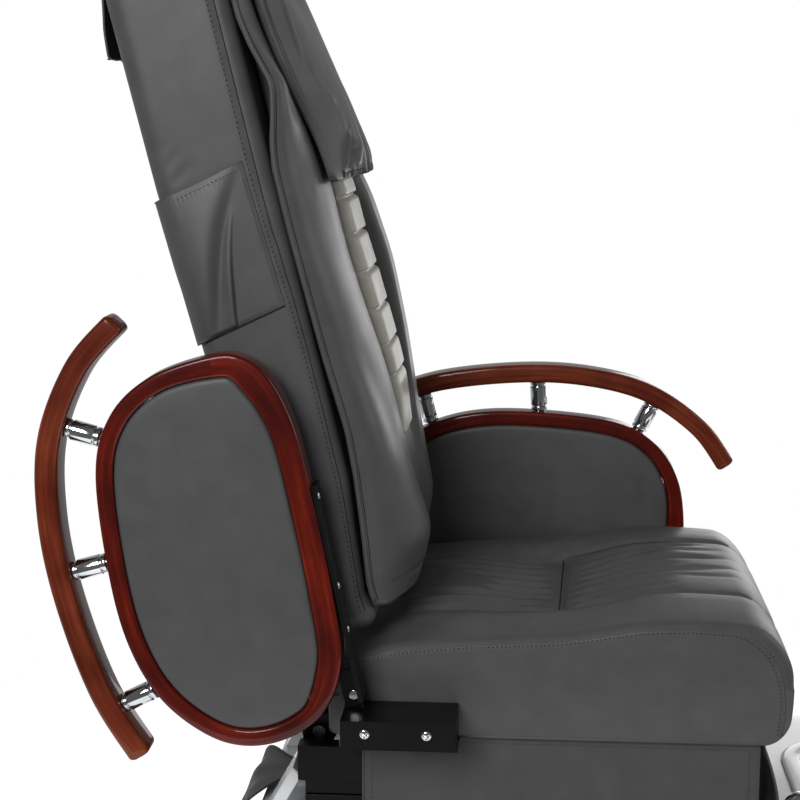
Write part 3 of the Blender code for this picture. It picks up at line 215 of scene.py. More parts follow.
def inward_ways(loop):
    """Unit directions into a closed outline that runs counterclockwise."""
    ahead = np.roll(loop, -1, 0) - np.roll(loop, 1, 0)
    return np.stack([-ahead[:, 1], ahead[:, 0]], 1) / np.linalg.norm(ahead, axis=1, keepdims=True)


def slab(counts, half_width, span, radius):
    """Lattice of a padded piece on the back: faces, distance across, place along the back, share of its thickness."""
    half = np.array([0.5, half_width, (span[1] - span[0]) / 2])
    places, faces = block(counts)
    local = rounded(places, half, radius)
    return faces, local[:, 1], local[:, 2] + sum(span) / 2, (local[:, 0] / half[0] + 1) / 2


def back_place(p, y, s):
    """World points of back-frame coordinates."""
    x = RECLINE_X + p * math.cos(TILT) - s * math.sin(TILT)
    z = RECLINE_Z + p * math.sin(TILT) + s * math.cos(TILT)
    return np.stack(np.broadcast_arrays(x, y, z), -1)


def arm_place(side, u, v, depth):
    """World points of arm coordinates at a depth from the middle plane: the right arm is up, the left one down."""
    turn = ARM_FLIP if side < 0 else 0.0
    x = PIVOT_X + u * math.cos(turn) - v * math.sin(turn)
    z = PIVOT_Z + u * math.sin(turn) + v * math.cos(turn)
    return np.stack(np.broadcast_arrays(x, side * depth, z), -1)


# Objects

def add_mesh(name, points, faces, material, uv=None, sharp=None, closed=True):
    """Add a smooth mesh; uv holds a pair per face corner, and edges over the sharp angle stay crisp."""
    mesh = bpy.data.meshes.new(name)
    mesh.from_pydata(np.asarray(points).tolist(), [], [list(face) for face in faces])
    mesh.polygons.foreach_set("use_smooth", np.ones(len(mesh.polygons), bool))
    if uv is not None:
        mesh.uv_layers.new(name="UVMap").data.foreach_set("uv", np.asarray(uv, np.float32).ravel())
    if closed:
        bm = bmesh.new()
        bm.from_mesh(mesh)
        bmesh.ops.recalc_face_normals(bm, faces=bm.faces)
        bm.to_mesh(mesh)
        bm.free()
    if sharp:
        mesh.set_sharp_from_angle(angle=math.radians(sharp))
    mesh.materials.append(material)
    piece = bpy.data.objects.new(name, mesh)
    bpy.context.scene.collection.objects.link(piece)
    return piece


def skin(name, rings, material, loop=False, sharp=None):
    """Skin over a stack of closed rings, capped at both ends or joined in a loop, with UVs in metres."""
    rings = np.asarray(rings, float)
    rows, columns = rings.shape[:2]
    faces, corners = grid_quads(rows, columns, loop, True)
    middle = rings.mean(1)
    run = lengths(np.vstack([middle, middle[:1]]))
    around = lengths(np.vstack([rings[rows // 2], rings[rows // 2][:1]]))
    uv = np.stack([run[corners[..., 0]], around[corners[..., 1]]], -1).reshape(-1, 2)
    faces = [list(face) for face in faces]
    if not loop:
        ends = (list(range(columns)), list(range((rows - 1) * columns, rows * columns)))
        for end, row in zip(ends, (0, rows - 1)):
            faces.append(end)
            uv = np.vstack([uv, np.stack([np.full(columns, run[row]), around[:columns]], 1)])
    return add_mesh(name, rings.reshape(-1, 3), faces, material, uv, sharp)


def section(width, height, radius, steps=4):
    """Rounded-rectangle section centred on 0: (n, 2) points."""
    radius = min(radius, width / 2 - 1e-5, height / 2 - 1e-5)
    turn = (np.arange(4)[:, None] + np.linspace(0, 1, steps + 1)[None]) * math.pi / 2
    corner = np.array([(1, 1), (-1, 1), (-1, -1), (1, -1)])[:, None] * (width / 2 - radius, height / 2 - radius)
    return (corner + radius * np.stack([np.cos(turn), np.sin(turn)], -1)).reshape(-1, 2)


def softened(profile, radius):
    """A lathe profile with each inner corner cut by three points."""
    profile = np.asarray(profile, float)
    made = [profile[0]]
    for before, here, after in zip(profile, profile[1:], profile[2:]):
        cut = [here + (side - here) * min(radius / max(np.linalg.norm(side - here), 1e-9), 0.45)
               for side in (before, after)]
        made += [cut[0], (cut[0] + 2 * here + cut[1]) / 4, cut[1]]
    return np.array(made + [profile[-1]])


def square_to(axis):
    """A unit axis and two directions square to it."""
    axis = np.asarray(axis, float) / np.linalg.norm(axis)
    first = np.cross(axis, (0.0, 1.0, 0.0) if abs(axis[1]) < 0.9 else (1.0, 0.0, 0.0))
    first /= np.linalg.norm(first)
    return axis, first, np.cross(axis, first)


def lathe(name, profile, place, axis, material, sides=40, radius=0.0008):
    """A turned piece: a profile of (radius, height) spun about an axis through a place."""
    axis, first, second = square_to(axis)
    turn = np.linspace(0, 2 * math.pi, sides, endpoint=False)
    spoke = np.cos(turn)[:, None] * first + np.sin(turn)[:, None] * second
    rings = [np.asarray(place) + axis * h + spoke * max(r, 1e-5) for r, h in softened(profile, radius)]
    return skin(name, rings, material, sharp=50)


def tube(name, line, radius, material, sides=8, loop=False):
    """A round cord along a line, its section turned as little as possible."""
    line = np.asarray(line, float)
    ahead = np.roll(line, -1, 0) - np.roll(line, 1, 0) if loop else np.gradient(line, axis=0)
    ahead /= np.linalg.norm(ahead, axis=1, keepdims=True)
    side = np.cross(ahead[0], (0.31, 0.17, 0.93))
    turn = np.linspace(0, 2 * math.pi, sides, endpoint=False)[:, None]
    rings = []
    for place, way in zip(line, ahead):
        side = side - way * (side @ way)
        side /= np.linalg.norm(side)
        rings.append(place + radius * (np.cos(turn) * side + np.sin(turn) * np.cross(way, side)))
    return skin(name, rings, material, loop)


def lay_on(points, faces, line, pitch, above=False):
    """Even points along a line brought to a skin, the nearest there or straight below, with the skin's normals; each
    point is then averaged with its neighbours 1-2-1, twice."""
    tree = BVHTree.FromPolygons(np.asarray(points).tolist(), np.asarray(faces).tolist())
    line = np.asarray(line, float)
    at = np.arange(0, lengths(line)[-1], pitch)
    drop = Vector((0.0, 0.0, 0.05))
    found = [tree.ray_cast(Vector(place) + drop, -drop) if above else tree.find_nearest(Vector(place))
             for place in resample(line, at=at)]
    spots, out = np.array([hit[0] for hit in found]), np.array([hit[1] for hit in found])
    for _ in range(2):
        spots[1:-1] = (spots[:-2] + 2 * spots[1:-1] + spots[2:]) / 4
    return spots, out


def thread(name, laid, material, share=0.52, radius=0.00070):
    """A row of stitches: one small spindle between each pair of laid points."""
    places, out = laid
    way = np.diff(places, axis=0) * share
    middle = (places[1:] + places[:-1]) / 2
    lift = out[1:]
    side = np.cross(way, lift)
    side /= np.maximum(np.linalg.norm(side, axis=1, keepdims=True), 1e-9)
    turn = np.linspace(0, 2 * math.pi, 6, endpoint=False)
    rings = []
    for along, size, rise in ((-0.5, 0.35, -0.4), (-0.3, 0.95, 0.3), (0.0, 1.0, 0.6), (0.3, 0.95, 0.3),
                              (0.5, 0.35, -0.4)):
        centre = middle + way * along + lift * radius * rise
        rings.append(centre[:, None] + radius * size * (
            np.cos(turn)[None, :, None] * side[:, None] + np.sin(turn)[None, :, None] * lift[:, None]))
    points = np.stack(rings, 1).reshape(-1, 3)
    quads, _ = grid_quads(5, 6, False, True)
    ends = np.array([[0, 1, 2, 3], [0, 3, 4, 5], [24, 25, 26, 27], [24, 27, 28, 29]])
    one = np.vstack([quads, ends])
    faces = (one[None] + 30 * np.arange(len(middle))[:, None, None]).reshape(-1, 4)
    return add_mesh(name, points, faces, material)


def place_piece(piece, body, nodes=()):
    """Hang a piece on its body and hide the solids it stands for."""
    if nodes:
        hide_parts(*nodes)
    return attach(piece, body)


def stitches(name, surface, line, body, pitch=STITCH):
    """A row of stitches along a line on a surface of (points, faces)."""
    return place_piece(thread(name, lay_on(*surface, line, pitch), THREAD_AND_HOLE_SHADE), body)


def seam_shade_line(name, surface, line, body, radius=SEAM_RADIUS, sink=SEAM_SINK, above=False):
    """Painted shade in a seam: a thin near-black cord sunk into a surface of (points, faces)."""
    spots, out = lay_on(*surface, line, SEAM_STEP, above)
    return place_piece(tube(name, spots - out * sink, radius, SEAM_SHADE), body)


def piping(name, surface, line, body, radius, pitch=0.008, lift=0.0, sides=10):
    """A leather welt along a line on a surface of (points, faces)."""
    spots, out = lay_on(*surface, line, pitch)
    return place_piece(tube(name, spots + out * lift, radius, LEATHER, sides), body)


def vertices(mesh):
    """A mesh's points as an array."""
    flat = np.empty(3 * len(mesh.vertices))
    mesh.vertices.foreach_get("co", flat)
    return flat.reshape(-1, 3)


# Materials

def linear(text):
    """Scene-linear colour of a hex sRGB colour."""
    parts = [int(text[k:k + 2], 16) / 255 for k in (1, 3, 5)]
    return tuple(c / 12.92 if c <= 0.04045 else ((c + 0.055) / 1.055) ** 2.4 for c in parts) + (1.0,)


def add_node(tree, kind, inputs=None, stops=None, **settings):
    """Add a shader node: inputs maps its sockets to values or other nodes' outputs, stops are a ramp's colours."""
    made = tree.nodes.new(kind)
    for key, value in settings.items():
        setattr(made, key, value)
    for key, value in (inputs or {}).items():
        if isinstance(value, bpy.types.NodeSocket):
            tree.links.new(value, made.inputs[key])
        else:
            made.inputs[key].default_value = value
    for index, (position, colour) in enumerate(stops or ()):
        ramp = made.color_ramp.elements
        stop = ramp[index] if index < 2 else ramp.new(position)
        stop.position, stop.color = position, linear(colour)
    return made


def new_finish(name, **values):
    """A material's node tree and its one Principled shader, with the sockets that stay the same all over set."""
    made = bpy.data.materials.new(name)
    made.use_nodes = True
    shader = made.node_tree.nodes["Principled BSDF"]
    for key, value in values.items():
        shader.inputs[key.replace("_", " ")].default_value = value
    return made, made.node_tree, shader


def wire(tree, shader, colour, roughness, normal):
    """Link what varies over a finish to its shader."""
    for output, socket in ((colour, "Base Color"), (roughness, "Roughness"), (normal, "Normal")):
        tree.links.new(output, shader.inputs[socket])


def artificial_leather(name, low, high, gloss=(0.36, 0.47), grain=1.4):
    """Polyurethane leather, its grain embossed by a roller: pebbles of grain mm and pores about half as wide give it
    a soft broken highlight, slack waves of 40 mm bend it, tone drifts over 30 mm and sheen over 90 mm."""
    made, tree, shader = new_finish(name, Specular_IOR_Level=0.34)
    where = add_node(tree, "ShaderNodeTexCoord").outputs["Object"]
    pebble = add_node(tree, "ShaderNodeTexVoronoi", {"Vector": where, "Scale": 1000 / grain, "Smoothness": 0.6},
                      feature="SMOOTH_F1")
    pores = add_node(tree, "ShaderNodeTexNoise", {"Vector": where, "Scale": 2200 / grain, "Detail": 2.0})
    drift = add_node(tree, "ShaderNodeTexNoise", {"Vector": where, "Scale": 33.0, "Detail": 2.0})
    pull = add_node(tree, "ShaderNodeTexNoise", {"Vector": where, "Scale": 11.0, "Detail": 3.0})
    slack = add_node(tree, "ShaderNodeTexNoise", {"Vector": where, "Scale": 24.0, "Detail": 1.0})
    tone = add_node(tree, "ShaderNodeValToRGB", {"Fac": drift.outputs["Fac"]}, [(0.30, low), (0.72, high)])
    sheen = add_node(tree, "ShaderNodeMapRange", {"Value": pull.outputs["Fac"], "From Min": 0.3, "From Max": 0.7,
                                                  "To Min": gloss[0], "To Max": gloss[1]})
    wave = add_node(tree, "ShaderNodeBump", {"Height": slack.outputs["Fac"], "Distance": 0.0016, "Strength": 0.12})
    emboss = add_node(tree, "ShaderNodeBump", {"Height": pebble.outputs["Distance"], "Distance": 0.00022,
                                               "Strength": 0.32, "Normal": wave.outputs["Normal"]})
    fine = add_node(tree, "ShaderNodeBump", {"Height": pores.outputs["Fac"], "Distance": 0.00018, "Strength": 0.25,
                                             "Normal": emboss.outputs["Normal"]})
    wire(tree, shader, tone.outputs["Color"], sheen.outputs["Result"], fine.outputs["Normal"])
    return made


def lacquered_wood(name, low, middle, high):
    """Beech stained red and lacquered, in a given low, middle and high tone; the rails' lighter, browner tones paint
    sheen over the red stain. Streaks 7 mm apart and pores 0.7 mm apart run along the piece's UV, the stain pools
    darker in places over 100 mm, and a clear coat gives the sharp highlights along its edges."""
    made, tree, shader = new_finish(name, Coat_Weight=0.45, Coat_Roughness=0.05, Coat_IOR=1.5,
                                    Specular_IOR_Level=0.12)
    where = add_node(tree, "ShaderNodeTexCoord").outputs["UV"]
    streaks = add_node(tree, "ShaderNodeMapping", {"Vector": where, "Scale": (6.0, 150.0, 1.0)})
    lines = add_node(tree, "ShaderNodeMapping", {"Vector": where, "Scale": (45.0, 1400.0, 1.0)})
    grain = add_node(tree, "ShaderNodeTexNoise", {"Vector": streaks.outputs["Vector"], "Scale": 1.0, "Detail": 5.0,
                                                  "Roughness": 0.62})
    pores = add_node(tree, "ShaderNodeTexNoise", {"Vector": lines.outputs["Vector"], "Scale": 1.0, "Detail": 2.0})
    pool = add_node(tree, "ShaderNodeTexNoise", {"Vector": where, "Scale": 10.0, "Detail": 2.0})
    tone = add_node(tree, "ShaderNodeValToRGB", {"Fac": grain.outputs["Fac"]},
                    [(0.28, low), (0.76, high), (0.52, middle)])
    stain = add_node(tree, "ShaderNodeValToRGB", {"Fac": pool.outputs["Fac"]},
                     [(0.32, "#b08478"), (0.66, "#ffffff")])
    colour = add_node(tree, "ShaderNodeMix", {0: 1.0, 6: tone.outputs["Color"], 7: stain.outputs["Color"]},
                      data_type="RGBA", blend_type="MULTIPLY")
    dull = add_node(tree, "ShaderNodeMapRange", {"Value": pores.outputs["Fac"], "To Min": 0.28, "To Max": 0.46})
    relief = add_node(tree, "ShaderNodeBump", {"Height": pores.outputs["Fac"], "Distance": 0.00005, "Strength": 0.25})
    wire(tree, shader, colour.outputs[2], dull.outputs["Result"], relief.outputs["Normal"])
    return made


def plated_metal(name, low, high, gloss, drawn):
    """Plated or drawn steel: finger smudges about 25 mm wide dull its gloss, and drawing lines, spaced in 1/m along
    each axis by drawn, scratch it faintly."""
    made, tree, shader = new_finish(name, Metallic=1.0)
    where = add_node(tree, "ShaderNodeTexCoord").outputs["Object"]
    smudge = add_node(tree, "ShaderNodeTexNoise", {"Vector": where, "Scale": 40.0, "Detail": 4.0})
    along = add_node(tree, "ShaderNodeMapping", {"Vector": where, "Scale": drawn})
    lines = add_node(tree, "ShaderNodeTexNoise", {"Vector": along.outputs["Vector"], "Scale": 1.0, "Detail": 2.0})
    tone = add_node(tree, "ShaderNodeValToRGB", {"Fac": smudge.outputs["Fac"]}, [(0.30, low), (0.72, high)])
    dull = add_node(tree, "ShaderNodeMapRange", {"Value": smudge.outputs["Fac"], "From Min": 0.3, "From Max": 0.7,
                                                 "To Min": gloss[0], "To Max": gloss[1]})
    relief = add_node(tree, "ShaderNodeBump", {"Height": lines.outputs["Fac"], "Distance": 0.00006, "Strength": 0.12})
    wire(tree, shader, tone.outputs["Color"], dull.outputs["Result"], relief.outputs["Normal"])
    return made


def coated(name, low, high, gloss, peel, depth, coat=0.0, shine=0.45):
    """Powder paint, moulded plastic or cast acrylic: an orange-peel skin of peel mm, depth mm deep, tone drifting
    over 60 mm, and a clear gloss over it where coat is set."""
    made, tree, shader = new_finish(name, Coat_Weight=coat, Coat_Roughness=0.06, Specular_IOR_Level=shine)
    where = add_node(tree, "ShaderNodeTexCoord").outputs["Object"]
    drift = add_node(tree, "ShaderNodeTexNoise", {"Vector": where, "Scale": 16.0, "Detail": 4.0})
    skin_noise = add_node(tree, "ShaderNodeTexNoise", {"Vector": where, "Scale": 1000 / peel, "Detail": 2.0})
    tone = add_node(tree, "ShaderNodeValToRGB", {"Fac": drift.outputs["Fac"]}, [(0.30, low), (0.72, high)])
    dull = add_node(tree, "ShaderNodeMapRange", {"Value": drift.outputs["Fac"], "From Min": 0.3, "From Max": 0.7,
                                                 "To Min": gloss[0], "To Max": gloss[1]})
    relief = add_node(tree, "ShaderNodeBump", {"Height": skin_noise.outputs["Fac"], "Distance": depth / 1000,
                                               "Strength": 0.3})
    wire(tree, shader, tone.outputs["Color"], dull.outputs["Result"], relief.outputs["Normal"])
    return made


def birch_plywood(name):
    """Birch plywood, sanded: rings 14 mm apart drawn out along X on its faces, plies 1.2 mm apart on its edges."""
    made, tree, shader = new_finish(name, Specular_IOR_Level=0.3)
    where = add_node(tree, "ShaderNodeTexCoord").outputs["Object"]
    drawn = add_node(tree, "ShaderNodeMapping", {"Vector": where, "Scale": (6.0, 70.0, 830.0)})
    rings = add_node(tree, "ShaderNodeTexNoise", {"Vector": drawn.outputs["Vector"], "Scale": 1.0, "Detail": 4.0})
    tone = add_node(tree, "ShaderNodeValToRGB", {"Fac": rings.outputs["Fac"]}, [(0.3, "#8c6a42"), (0.72, "#b9945f")])
    dull = add_node(tree, "ShaderNodeMapRange", {"Value": rings.outputs["Fac"], "To Min": 0.5, "To Max": 0.66})
    relief = add_node(tree, "ShaderNodeBump", {"Height": rings.outputs["Fac"], "Distance": 0.0002, "Strength": 0.3})
    wire(tree, shader, tone.outputs["Color"], dull.outputs["Result"], relief.outputs["Normal"])
    return made


# Upholstery and its sewing, a lighter leather copy painting sheen on the pleats, near-black cords painting shade in
# the seams, then wood with a lighter copy painting sheen on the rails, metal, paint, acrylic, plastic and board
LEATHER = artificial_leather("grey_leather", "#4b4b4c", "#515152")
# The pleated band's leather is the grey leather made lighter and beige: painted sheen of the light grazing the pleats.
PLEAT_SHEEN_LEATHER = artificial_leather("pleat_leather_painted_sheen", "#a4a197", "#b2aea4", (0.30, 0.40))
CLOTH = artificial_leather("grey_cloth", "#464547", "#4b4a4c", (0.42, 0.55), 1.1)
# Near-black cord laid in seams, grooves and under edges: painted shade of the gaps there.
SEAM_SHADE = artificial_leather("seam_cord", "#0c0c0d", "#131314", (0.6, 0.7))
# The real thread is the leather's grey; its darker tone here paints the shade in the stitch holes.
THREAD_AND_HOLE_SHADE = artificial_leather("thread", "#2a2a2c", "#363638", (0.55, 0.7), 0.6)
LACQUER = lacquered_wood("red_lacquer", "#400902", "#641303", "#8c2a07")
# The rails are the same red-stained beech; this lighter, browner copy paints the sheen on them.
RAIL_SHEEN_LACQUER = lacquered_wood("rail_lacquer", "#58200f", "#7c351c", "#9c4a28")
CHROME = plated_metal("chrome", "#c9cdd0", "#dfe2e4", (0.04, 0.11), (60.0, 60.0, 60.0))
STEEL = plated_metal("bright_steel", "#8f9194", "#a8aaad", (0.24, 0.38), (30.0, 2000.0, 30.0))
BLACK = coated("black_steel", "#040405", "#08080a", (0.34, 0.48), 0.8, 0.1, shine=0.18)
ACRYLIC = coated("white_acrylic", "#e4e7ea", "#edeff1", (0.16, 0.26), 4.0, 0.06, 0.4)
PLASTIC = coated("white_plastic", "#c2c4c5", "#cdcecf", (0.34, 0.46), 0.9, 0.1)
PLYWOOD = birch_plywood("plywood")
FINISHES = {"white_acrylic": ACRYLIC, "white_plastic": PLASTIC, "grey_leather": LEATHER, "grey_cloth": CLOTH,
            "red_lacquer": LACQUER, "black_steel": BLACK, "bright_steel": STEEL, "chrome": CHROME,
            "plywood": PLYWOOD}


# Arms

def swept(side, spine, across, cuts):
    """Rings of an arm piece: each section's (across, depth) points laid at its place on a spine."""
    rings = []
    for place, way, cut in zip(spine, across, cuts):
        flat = place + way * cut[:, :1]
        rings.append(arm_place(side, flat[:, 0], flat[:, 1], ARM_CENTRE_Y + cut[:, 1]))
    return rings


def build_pad(name, side, inner, inward, middle):
    """Pad inside the rim, the same on both faces: a quarter-round roll over 4.5 mm, then a crown that rises with the
    sine of the way to the middle."""
    edge, roll, crown = PAD_T / 2 - 0.002, 0.0045, 0.0045
    levels = []
    for d in (0.0, 0.0004, 0.0012, 0.0024, 0.0040, 0.0070, 0.0120):
        rise = math.sqrt(max(roll ** 2 - max(roll - d, 0.0) ** 2, 0.0))
        levels.append((inner + inward * d, edge + rise + crown * 0.25 * d / 0.012))
    last = levels[-1][0]
    for share in np.linspace(0.06, 0.985, 18):
        rise = edge + roll + crown * (0.25 + 0.75 * math.sin(share * math.pi / 2))
        levels.append((last + (middle - last) * share, rise))
    stack = [arm_place(side, *flat.T, ARM_CENTRE_Y - rise) for flat, rise in reversed(levels)]
    stack += [arm_place(side, *flat.T, ARM_CENTRE_Y + rise) for flat, rise in levels]
    pad = skin("pad_" + name, stack, LEATHER)
    place_piece(pad, "arm_" + name, ["arm_pad_" + name])


def build_rail(name, side, line):
    """Rail: a rounded bar swept along its line, its section shrinking by a quarter circle over each end."""
    total = lengths(line)[-1]
    caps = np.array([0.0, 0.0005, 0.0014, 0.0028, 0.0045, RAIL_END])
    at = np.concatenate([caps, np.linspace(0.012, total - 0.012, 110), total - caps[::-1]])
    spine = resample(line, at=at)
    ahead = np.gradient(spine, axis=0)
    across = np.stack([-ahead[:, 1], ahead[:, 0]], 1) / np.linalg.norm(ahead, axis=1, keepdims=True)
    gone = np.maximum(RAIL_END - np.minimum(at, total - at), 0.0)
    shrink = RAIL_END - np.sqrt(np.maximum(RAIL_END ** 2 - gone ** 2, 0.0))
    cuts = [section(RAIL_W - 2 * less, RAIL_DEPTH - 2 * less, 0.0060, 5) for less in shrink]
    rail = skin("rail_" + name, swept(side, spine, across, cuts), RAIL_SHEEN_LACQUER)
    place_piece(rail, "arm_" + name, ["arm_rail_" + name])


def build_standoffs(name, side, outer, line):
    """Turned posts from the rim's upper line to the nearest place on the rail, with a collar at each end."""
    upper = outer[outer[:, 1] > 0.10]
    for index, u in enumerate(STANDOFF_U):
        foot = upper[np.argmin(np.abs(upper[:, 0] - u))]
        head = line[np.argmin(np.linalg.norm(line - foot, axis=1))]
        way = (head - foot) / np.linalg.norm(head - foot)
        tall = np.linalg.norm(head - foot) - RAIL_W / 2
        profile = [(0, -0.001), (0.0085, -0.001), (0.0085, 0.0022), (0.0118, 0.0028), (0.0118, 0.0072),
                   (0.0100, 0.0078), (0.0100, 0.0092), (0.0122, 0.0098), (0.0122, tall - 0.0080),
                   (0.0104, tall - 0.0072), (0.0104, tall - 0.0058), (0.0118, tall - 0.0052),
                   (0.0118, tall - 0.0012), (0.0100, tall), (0.0100, tall + 0.0008), (0, tall + 0.0008)]
        ends = [arm_place(side, *spot, ARM_CENTRE_Y) for spot in (foot, foot + way)]
        post = lathe("post_%s_%d" % (name, index + 1), profile, ends[0], ends[1] - ends[0], CHROME, 48, 0.0005)
        place_piece(post, "arm_" + name, ["standoff_%s_%d" % (name, index + 1)])


def build_arm(name, side):
    """Rim, pad, rail, standoffs, hinge bar and its screws. The rim is a rounded bar swept round its outline, 21 mm
    wide, 7 mm wider along its foot and 7 mm more in a bell round its lower front corner."""
    body = "arm_" + name
    outer = resample(catmull(RIM_POINTS, 12, True), 260, True)
    inward = inward_ways(outer)
    corner = np.linalg.norm(outer - RIM_CORNER, axis=1)
    width = 0.0210 + 0.0070 * ease((0.050 - outer[:, 1]) / 0.045) + 0.0070 * bump(corner / 0.070)
    cuts = [section(wide, RIM_T, 0.0045, 5) for wide in width]
    rings = swept(side, outer + inward * (width / 2)[:, None], inward, cuts)
    place_piece(skin("rim_" + name, rings, LACQUER, loop=True), body, ["arm_rim_" + name])
    build_pad(name, side, outer + inward * (width + 0.0003)[:, None], inward, outer.mean(0))
    line = catmull(RAIL_POINTS, 12)
    build_rail(name, side, line)
    build_standoffs(name, side, outer, line)
    under = min(v for _, v in RIM_POINTS) - 0.0003 - 0.005
    for index, u in enumerate((0.251, 0.141, 0.087)):
        spots = [arm_place(side, u, under + k, ARM_CENTRE_Y) for k in (0.0, -1.0)]
        screw("strap_screw_%s_%d" % (name, index + 1), spots[0], spots[1] - spots[0], 0.0048, 0.0015, body)
    bevelled("hinge_" + name, "hinge_bar_" + name, BLACK, body)


def screw(name, place, axis, radius, height, body):
    """A domed cross-head screw: a lathe dome with two crossed bell-shaped slots sunk in its top."""
    rows = [(math.cos(t) * radius, math.sin(t) * height) for t in np.linspace(0, math.pi / 2 * 0.97, 9)]
    head = lathe(name, [(radius, -0.0006)] + rows, place, axis, CHROME, 32, 0.0001)
    axis, first, second = square_to(axis)
    points = vertices(head.data)
    flat = points - np.asarray(place)
    a, b = np.abs(flat @ first), np.abs(flat @ second)
    slot = np.maximum(bump(a / (radius * 0.16)) * (b < radius * 0.6), bump(b / (radius * 0.16)) * (a < radius * 0.6))
    points -= axis * (slot * height * 0.55)[:, None]
    head.data.vertices.foreach_set("co", points.ravel())
    place_piece(head, body)


def bevelled(name, node, material, body, width=0.0012):
    """A solid's own shape with its edges eased."""
    piece = bpy.data.objects.new(name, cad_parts[node].data.copy())
    bpy.context.scene.collection.objects.link(piece)
    bm = bmesh.new()
    bm.from_mesh(piece.data)
    bmesh.ops.remove_doubles(bm, verts=bm.verts, dist=1e-5)
    bmesh.ops.dissolve_limit(bm, angle_limit=math.radians(1.0), verts=bm.verts, edges=bm.edges)
    bm.to_mesh(piece.data)
    bm.free()
    piece.data.materials.clear()
    piece.data.materials.append(material)
    piece.data.polygons.foreach_set("use_smooth", np.ones(len(piece.data.polygons), bool))
    step = piece.modifiers.new("Bevel", "BEVEL")
    step.width = width
    step.segments = 3
    step.limit_method = "ANGLE"
    step.angle_limit = math.radians(35.0)
    step.harden_normals = True
    piece.data.set_sharp_from_angle(angle=math.radians(35.0))
    return place_piece(piece, body, [node])


for arm_side, arm_name in SIDES:
    build_arm(arm_name, arm_side)


# Single sheets

def cloth(name, points, body, nodes, material=CLOTH):
    """A single sheet over a rows x columns array of points."""
    rows, columns = points.shape[:2]
    faces, _ = grid_quads(rows, columns)
    piece = add_mesh(name, points.reshape(-1, 3), faces, material, closed=False)
    return place_piece(piece, body, nodes), faces


def hem(name, points, faces, rows, body):
    """Stitch rows and a rolled edge along the borders of a sheet."""
    for index, line in enumerate(rows):
        stitches("%s_stitch_%d" % (name, index + 1), (points.reshape(-1, 3), faces), line, body)
    border = np.vstack([points[0], points[1:, -1], points[-1, -2::-1], points[-2:0:-1, 0]])
    edge = resample(border, 160, True)
    place_piece(tube(name + "_edge", edge, 0.0016, CLOTH, 8, True), body)


# Back: padded body, massage cover, pleated band, head pillow

SIDE_SEAM = catmull([(0.095, 0.968), (0.095, 0.894), (0.095, 0.790), (0.095, 0.697), (0.098, 0.623), (0.104, 0.539),
                     (0.107, 0.447), (0.107, 0.354), (0.105, 0.267), (0.098, 0.179), (0.096, 0.150)], 6)
SEAM_SHIFT = 0.008
REAR_SEAMS = (0.36, 0.72)
SIDE_CREASES = (((-0.008, 0.735), (0.006, 0.757)), ((-0.006, 0.714), (0.028, 0.747)), ((0.000, 0.700), (0.030, 0.722)))


def rear_swell(s):
    """How far the back's rear face stands behind the plain block: fuller towards the head."""
    return np.interp(s, (0.128, 0.40, 0.52, 0.70, 0.93, 0.99), (0.0, 0.0, -0.003, -0.009, -0.011, -0.008))


def front_fall(y, s):
    """How far the back's front face falls away above its foot: straight runs along the back, eased in from 130 to
    190 mm off the middle, which stays full and leaves the massage rollers room."""
    fall = np.interp(s, (0.128, 0.150, 0.170, 0.250, 0.310), (-0.004, -0.008, -0.014, -0.007, 0.0))
    return fall * ease((np.abs(y) - 0.13) / 0.06)


def side_line(side, ahead=0.0):
    """The side seam's line on one side of the back, moved ahead."""
    return back_place(SIDE_SEAM[:, 0] + ahead, side * BACK_HALF_WIDTH, SIDE_SEAM[:, 1])


def rear_line(s, half_width, count, rise=0.0):
    """A line across the rear face at the height of a rear seam, moved up."""
    return back_place(BACK_P[0] - 0.006 + rear_swell(s), np.linspace(-half_width, half_width, count), s + rise)


def build_back_body():
    """Padded body of the back: a rounded block, its rear face bowed by 6 mm and its sides drawn in by 0.4 %, both as
    parabolas, then swelled behind and let fall in front, and carved along its seams and creases."""
    half = np.array([(BACK_P[1] - BACK_P[0]) / 2, BACK_HALF_WIDTH, (BACK_S[1] - BACK_S[0]) / 2])
    centre = np.array([sum(BACK_P) / 2, 0.0, sum(BACK_S) / 2])
    places, faces = block((28, 84, 190))
    local = rounded(places, half, BACK_ROUND)
    y, s = local[:, 1] / half[1], local[:, 2] / half[2]
    behind = np.maximum(-local[:, 0] / half[0], 0.0)
    local[:, 0] -= 0.006 * behind * (1 - y ** 2) * (1 - s ** 2)
    local[:, 1] *= 1 - 0.004 * (1 - s ** 2)
    local += centre
    ahead = np.clip((local[:, 0] - BACK_P[0]) / (BACK_P[1] - BACK_P[0]), 0, 1)
    local[:, 0] += rear_swell(local[:, 2]) * (1 - ahead) + front_fall(local[:, 1], local[:, 2]) * ahead
    points = back_place(*local.T)
    lines = []
    for side, _ in SIDES:
        seam = side_line(side, SEAM_SHIFT)
        lines += [(seam, 0.004, 0.0022, 0.02), (seam, 0.012, 0.0012, 0.05)]
        for ends in SIDE_CREASES:
            p, s = np.array(ends).T
            lines.append((back_place(p, side * BACK_HALF_WIDTH, s), 0.0035, 0.0012, 0.35))
    lines += [(rear_line(s_seam, 0.22, 50), 0.005, 0.0026, 0.04) for s_seam in REAR_SEAMS]
    surface = carve(points, faces, lines), faces
    body = add_mesh("back_shell", *surface, LEATHER)
    place_piece(body, "back", ["back_body"])
    for side, name in SIDES:
        stitches("back_stitch_" + name, surface, side_line(side), "back", 0.0062)
        seam_shade_line("back_seam_shade_" + name, surface, side_line(side, SEAM_SHIFT), "back")
    for index, s_seam in enumerate(REAR_SEAMS):
        stitches("rear_stitch_%d" % (index + 1), surface, rear_line(s_seam, 0.222, 60, SEAM_SHIFT), "back")
        seam_shade_line("rear_seam_shade_%d" % (index + 1), surface, rear_line(s_seam, 0.222, 60), "back")


build_back_body()


